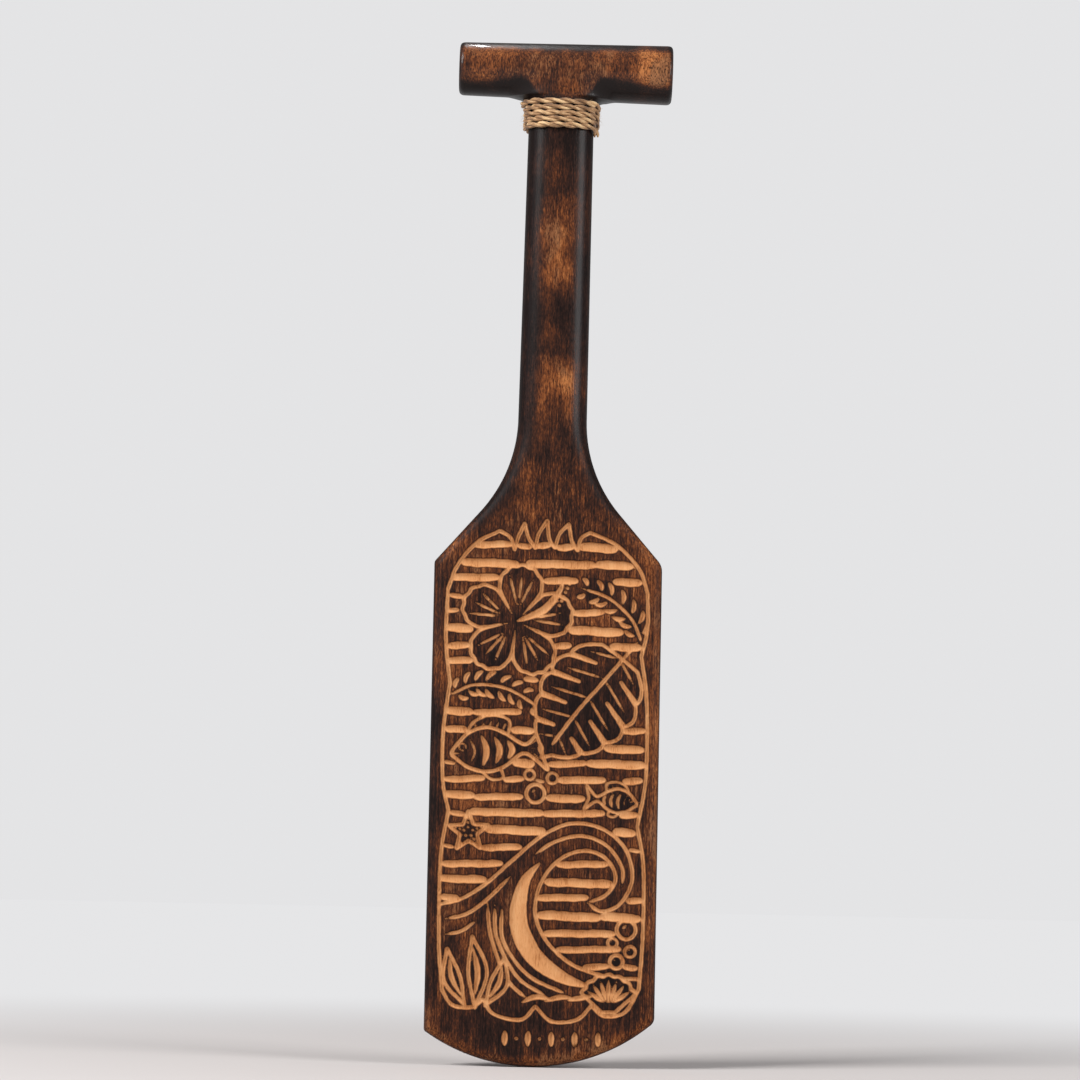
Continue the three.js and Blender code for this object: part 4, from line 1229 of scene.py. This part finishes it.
def scorched(s, tone, flecks, patches, clouds=0.8, streaks=0.5):
    """Stained and scorched wood, from char where tone is 0 to amber where it is 1. The rest
    are the shares of its dark pores, wide patches, small clouds and upright streaks. Returns
    its colour, and the height of its grain with the pores sunk in it."""
    fine = s.noise((1.8, 1.8, 0.36), 3, 0.6, 0.3)
    level = tone
    for noise, share in (
        (s.noise((0.045, 0.045, 0.026), 4, 0.62, 0.3), patches),
        (s.noise((1.2, 1.2, 0.045), 3, 0.55, 0.3), streaks),
        (s.noise((0.13, 0.13, 0.05), 3, 0.6), clouds),
        (fine, 1.0),
    ):
        level = s.sway(noise, share, level)
    colour = s.ramp(level, [
        (0.08, CHAR), (0.33, UMBER), (0.52, BROWN), (0.72, RUSSET), (1.0, AMBER),
    ])
    # Here and there the stain is thin, and greyer wood shows.
    thin = s.noise((0.10, 0.10, 0.045), 2, 0.5)
    light = s.times(s.band(thin, 0.52, 0.66, 0.0, 0.55), s.band(level, 0.5, 0.8))
    colour = s.mix(light, colour, TAN)
    pores = s.noise((2.3, 2.3, 0.55), 2, 0.5)
    colour = s.mix(s.band(pores, 0.53, 0.62, 0.0, flecks), colour, CHAR)
    return colour, fine, s.math("SUBTRACT", fine, s.times(pores, 0.6))


SHAFT_SPAN = (285.0, 320.0)  # the heights over which the blade's looks give way to the shaft's


def board_material():
    """The board's scorched face with its pale cuts."""
    s = Shader("scorched_board")
    cut, edge = s.read("cut"), s.read("edge")
    share = s.math("DIVIDE", s.z, float(OVERALL_LENGTH))
    # The heat was played along the board: the tone by height, as a share of its length.
    along = s.curve(share, [
        (0.0, 0.36), (0.05, 0.37), (0.14, 0.44), (0.36, 0.46), (0.50, 0.50), (0.56, 0.54),
        (0.60, 0.46), (0.635, 0.58), (0.663, 0.90), (0.680, 0.72), (0.695, 0.40), (0.73, 0.32),
        (0.765, 0.64), (0.80, 0.70), (0.835, 0.56), (0.86, 0.36), (0.93, 0.12),
    ])
    shaft = s.band(s.z, *SHAFT_SPAN)
    flat = s.math("SUBTRACT", 1.0, shaft)
    rim = s.times(s.band(edge, 1.5, 8.0, 1.0, 0.0), flat)
    # The blade's border is lighter towards its right and its foot.
    left_lift = s.band(s.z, 160.0, 215.0, -0.15, 0.06)
    right_lift = s.band(s.z, 150.0, 210.0, 0.25, 0.12)
    lift = s.mix(s.band(s.x, -20.0, 20.0), left_lift, right_lift)
    lift = s.mix(s.band(s.z, 14.0, 36.0), (0.26,) * 3, lift)
    tone = s.times(rim, lift, along)
    tone = s.times(s.read("raised"), -0.15, tone)
    # The scorch is heaviest down the shaft's left side.
    right_rim = s.times(s.band(s.x, 8.5, 13.5), s.band(s.z, 385.0, 430.0, 0.75, 0.3))
    shaft_rim = s.math("ADD", s.band(s.x, -12.5, -4.0, 1.0, 0.0), right_rim)
    # Along the rounded rims in the hollow of each shoulder the wood is painted darker too, more on
    # the left: painted shade.
    hollow = s.times(s.band(s.z, 250.0, 272.0), s.band(s.z, 300.0, 330.0, 1.0, 0.0))
    on_left, on_right = s.band(edge, 2.0, 9.0, 0.95, 0.0), s.band(edge, 1.0, 5.0, 0.8, 0.0)
    shoulder_rim_shade = s.mix(s.band(s.x, -3.0, 3.0), on_left, on_right)
    # This holds the shaft's scorch and the shoulders' painted shade together.
    heaviest = s.math("MAXIMUM", s.times(shaft_rim, shaft), s.times(hollow, shoulder_rim_shade))
    tone = s.mix(heaviest, tone, (0.10,) * 3)
    # The shares of patches, clouds and streaks, from the blade's to the shaft's.
    shares = (s.band(shaft, 0.0, 1.0, *ends) for ends in ((1.1, 0.9), (0.55, 0.8), (1.0, 0.5)))
    colour, fine, height = scorched(s, tone, 0.6, *shares)
    # A thin black line is painted round the lower corner of the edge: painted shade where the edge
    # turns away.
    colour = s.mix(s.band(edge, 0.25, 1.1, 0.75, 0.0), colour, CHAR)
    # Bare wood in the cuts.
    cloud = s.noise((0.12, 0.12, 0.05), 3, 0.6)
    grain = s.noise((1.9, 1.9, 0.22), 3, 0.6)
    bare_stops = [(0.25, BARE_DARK), (0.45, BARE), (0.75, BARE_LIGHT)]
    pale = s.ramp(s.sway(grain, 0.9, cloud), bare_stops)
    ticks = s.noise((2.6, 2.6, 0.55), 2, 0.5)
    pale = s.mix(s.band(ticks, 0.60, 0.70, 0.0, 0.55), pale, BARE_DARK)
    pale = s.mix(s.band(cut, -0.62, -0.12, 0.0, 0.9), pale, RIM)
    wobble = s.noise((1.6, 1.6, 1.6), 2, 0.6)
    bare = s.band(s.sway(wobble, 0.28, cut), -0.16, 0.04, 1.0, 0.0)
    singed = s.band(cut, 0.05, 0.75, 0.55, 0.0)
    colour = s.mix(singed, colour, CHAR)
    s.set(Base_Color=s.mix(bare, colour, pale))
    rough = s.times(fine, 0.20, s.band(s.z, *SHAFT_SPAN, 0.36, 0.20))
    s.set(Roughness=s.math("MAXIMUM", rough, s.times(bare, 0.74)))
    s.set(Coat_Weight=s.times(shaft, 0.09), Coat_Roughness=0.2)
    s.set(Specular_IOR_Level=0.06)
    relief = s.bump(height, 0.16, 0.55)
    inside = s.bump(s.math("ADD", grain, s.times(ticks, 0.5)), 0.22, 0.6)
    mixed = s.node("Mix", data_type="VECTOR")
    s.feed(mixed.inputs[0], bare)
    s.feed(mixed.inputs[4], relief)
    s.feed(mixed.inputs[5], inside)
    s.set(Normal=mixed.outputs[1])
    return s.material


def grip_material():
    """The bar's rubbed wood: amber at both ends, dark in the middle, black above, and black below
    from scorch and painted shade.
    """
    s = Shader("scorched_grip")
    along = s.math("SUBTRACT", s.x, drift(JOINT_HEIGHT) + GRIP_OFFSET)
    outward = s.math("DIVIDE", s.math("ABSOLUTE", along), GRIP_LENGTH / 2)
    above = s.times(along, math.tan(GRIP_TAPER), s.math("SUBTRACT", s.z, BAR_HEIGHT))
    across = s.times(along, 1 / GRIP_LENGTH, 0.5)
    tone = s.curve(across, [
        (0.0, 0.34), (0.03, 0.70), (0.16, 0.70), (0.32, 0.56), (0.45, 0.50), (0.64, 0.50),
        (0.78, 0.60), (0.88, 0.92), (0.97, 0.88), (1.0, 0.34),
    ])
    # The black underside is scorch and painted shade together. It ends at the neck, and reaches
    # higher close beside it on the right.
    limits = (
        s.math("ADD", s.band(outward, *by_neck), s.band(outward, *by_end))
        for by_neck, by_end in (
            ((0.20, 0.40, -16.0, -6.6), (0.40, 0.80, 0.0, -2.6)),
            ((0.15, 0.36, -16.0, -6.2), (0.40, 0.90, 0.0, -3.0)),
        )
    )
    limit = s.mix(s.band(along, -2.0, 2.0), *limits)
    # The underside's mask: scorch and painted shade.
    below = s.band(s.math("SUBTRACT", above, limit), -1.6, 2.4, 1.0, 0.0)
    tone = s.times(below, -0.62, tone)
    tone = s.times(s.band(above, 8.0, 11.5), -0.5, tone)
    colour, fine, height = scorched(s, tone, 0.8, 0.7)
    s.set(Base_Color=colour, Roughness=s.times(fine, 0.20, 0.24), Normal=s.bump(height, 0.16, 0.5))
    s.set(Coat_Weight=0.12, Coat_Roughness=0.05, Specular_IOR_Level=0.12)
    return s.material


def dowel_material():
    """Plain turned hardwood."""
    s = Shader("dowel_beech")
    grain = s.noise((1.2, 1.2, 0.06), 3, 0.6)
    ticks = s.noise((3.0, 3.0, 0.5), 2, 0.5)
    colour = s.ramp(grain, [(0.3, (0.42, 0.25, 0.12)), (0.7, (0.62, 0.42, 0.23))])
    s.set(Base_Color=s.mix(s.band(ticks, 0.6, 0.7, 0.0, 0.6), colour, (0.3, 0.15, 0.06)))
    s.set(Roughness=s.times(grain, 0.2, 0.5), Normal=s.bump(grain, 0.1, 0.5))
    return s.material


def cord_material():
    """Dry straw-coloured fibre, laid along each strand."""
    s = Shader("seagrass_cord")
    run, around, strand = (s.read(name) for name in ("run", "around", "strand"))
    at = s.join(
        s.times(s.math("COSINE", around), 2.2),
        s.times(s.math("SINE", around), 2.2),
        s.times(run, 0.16),
    )
    fibre = s.noise((1.6, 1.6, 1.0), 3, 0.6, at=at)
    piece = s.noise((0.12, 3.0, 1.0), 2, 0.5, at=s.join(run, strand, 0.0))
    level = s.sway(fibre, 1.3, s.band(piece, 0.3, 0.7, 0.28, 0.86))
    colour = s.ramp(level, [
        (0.15, (0.070, 0.032, 0.014)), (0.38, (0.21, 0.107, 0.046)),
        (0.60, (0.36, 0.194, 0.086)), (0.85, (0.68, 0.455, 0.235)),
    ])
    s.set(Base_Color=colour, Roughness=s.times(fibre, -0.2, 0.72))
    s.set(Specular_IOR_Level=0.35, Sheen_Weight=0.15)
    s.set(Normal=s.bump(fibre, 0.22, 0.8))
    return s.material


def wear(obj, material):
    obj.data.materials.clear()
    obj.data.materials.append(material)


def put_piece(obj, node, material):
    wear(obj, material)
    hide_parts(node)
    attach(obj, "root")


put_piece(blade_and_shaft(CutMap(design())), "blade_and_shaft", board_material())
put_piece(grip(), "t_grip", grip_material())
put_piece(lashing(), "lashing_cord", cord_material())
wear(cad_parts["grip_dowel"], dowel_material())


BACKDROP = (0.80, 0.80, 0.81)
BACKDROP_LEVEL = 0.97
AMBIENT_LEVEL = 0.28
FLOOR_TONE = (0.62, 0.58, 0.565)
FLOOR_REACH = 6.0
FLOOR_DROP = 0.0002
FLOOR_FADE = (60.0, 900.0)  # millimetres from the tip


def floor():
    """A wide pale floor just under the tip."""
    mesh = bpy.data.meshes.new("studio_floor")
    signs = ((-1, -1), (1, -1), (1, 1), (-1, 1))
    corners = [(x * FLOOR_REACH, y * FLOOR_REACH, 0) for x, y in signs]
    mesh.from_pydata(corners, [], [(0, 1, 2, 3)])
    obj = add_object("studio_floor", mesh)
    obj.location.z = -FLOOR_DROP
    s = Shader("studio_floor")
    # Far off it gives the backdrop's own light, so that no horizon shows.
    away = s.fill(s.node("VectorMath", operation="LENGTH"), s.place)["Value"]
    far = s.band(away, *FLOOR_FADE)
    s.set(Base_Color=s.mix(far, FLOOR_TONE, (0.0, 0.0, 0.0)), Roughness=0.8)
    s.set(Specular_IOR_Level=0.1, Emission_Color=(*BACKDROP, 1))
    s.set(Emission_Strength=s.times(far, BACKDROP_LEVEL))
    wear(obj, s.material)


def lamp(name, place, aim, size, watts, tint=(1, 1, 1)):
    """A rectangular soft light that looks at a point."""
    data = bpy.data.lights.new(name, "AREA")
    data.shape = "RECTANGLE"
    data.size, data.size_y = size
    data.energy = watts
    data.color = tint
    obj = add_object(name, data)
    obj.location = place
    obj.rotation_euler = (Vector(aim) - Vector(place)).to_track_quat("-Z", "Y").to_euler()
    return obj


def studio():
    world = bpy.data.worlds.new("studio")
    bpy.context.scene.world = world
    world.use_nodes = True
    tree = world.node_tree
    back = tree.nodes["Background"]
    back.inputs["Color"].default_value = (*BACKDROP, 1)
    # The backdrop shows pale, and lights the object less than it shows.
    seen = tree.nodes.new("ShaderNodeLightPath").outputs["Is Camera Ray"]
    level = tree.nodes.new("ShaderNodeMapRange")
    level.inputs["To Min"].default_value = AMBIENT_LEVEL
    level.inputs["To Max"].default_value = BACKDROP_LEVEL
    tree.links.new(seen, level.inputs["Value"])
    tree.links.new(level.outputs[0], back.inputs["Strength"])
    lamp("key", (-1.5, -1.1, 1.5), (0, 0, 0.25), (0.9, 1.2), 64)
    lamp("fill", (1.7, -1.1, 0.9), (0, 0, 0.25), (0.9, 1.2), 30)
    lamp("side_left", (-1.3, -0.25, 0.5), (0, 0, 0.3), (0.3, 0.9), 0.75, (0.80, 0.80, 1.0))
    lamp("side_right", (1.2, -0.35, 0.5), (0, 0, 0.3), (0.12, 0.9), 0.85, (0.90, 0.88, 1.0))
    # A small light over the grip's left arm shows only as a bright spot in its varnish.
    spot = (-0.0384, -0.0096, 0.4965)
    glint = lamp("glint", (-0.0466, 0.0788, 0.8245), spot, (0.006, 0.08), 0.4)
    glint.visible_diffuse = glint.visible_camera = False
    bpy.context.scene.view_settings.view_transform = "Standard"


CAMERA_PLACE = Vector((-4.3, -1720.6, 96.4)) * MM
CAMERA_PITCH = math.radians(5.252)
CAMERA_ROLL = math.radians(1.177)
CAMERA_LENS = 118.03
CAMERA_SENSOR = 36.0


def camera():
    data = bpy.data.cameras.new("camera")
    data.sensor_width, data.lens = CAMERA_SENSOR, CAMERA_LENS
    data.sensor_fit = "HORIZONTAL"
    data.clip_end = 100
    obj = add_object("camera", data)
    ahead = Vector((0, math.cos(CAMERA_PITCH), math.sin(CAMERA_PITCH)))
    level = Vector((1, 0, 0))
    above = level.cross(ahead)
    right = level * math.cos(CAMERA_ROLL) + above * math.sin(CAMERA_ROLL)
    up = above * math.cos(CAMERA_ROLL) - level * math.sin(CAMERA_ROLL)
    turned = Matrix((right, up, -ahead)).transposed()
    obj.matrix_world = Matrix.Translation(CAMERA_PLACE) @ turned.to_4x4()
    bpy.context.scene.camera = obj


floor()
studio()
camera()
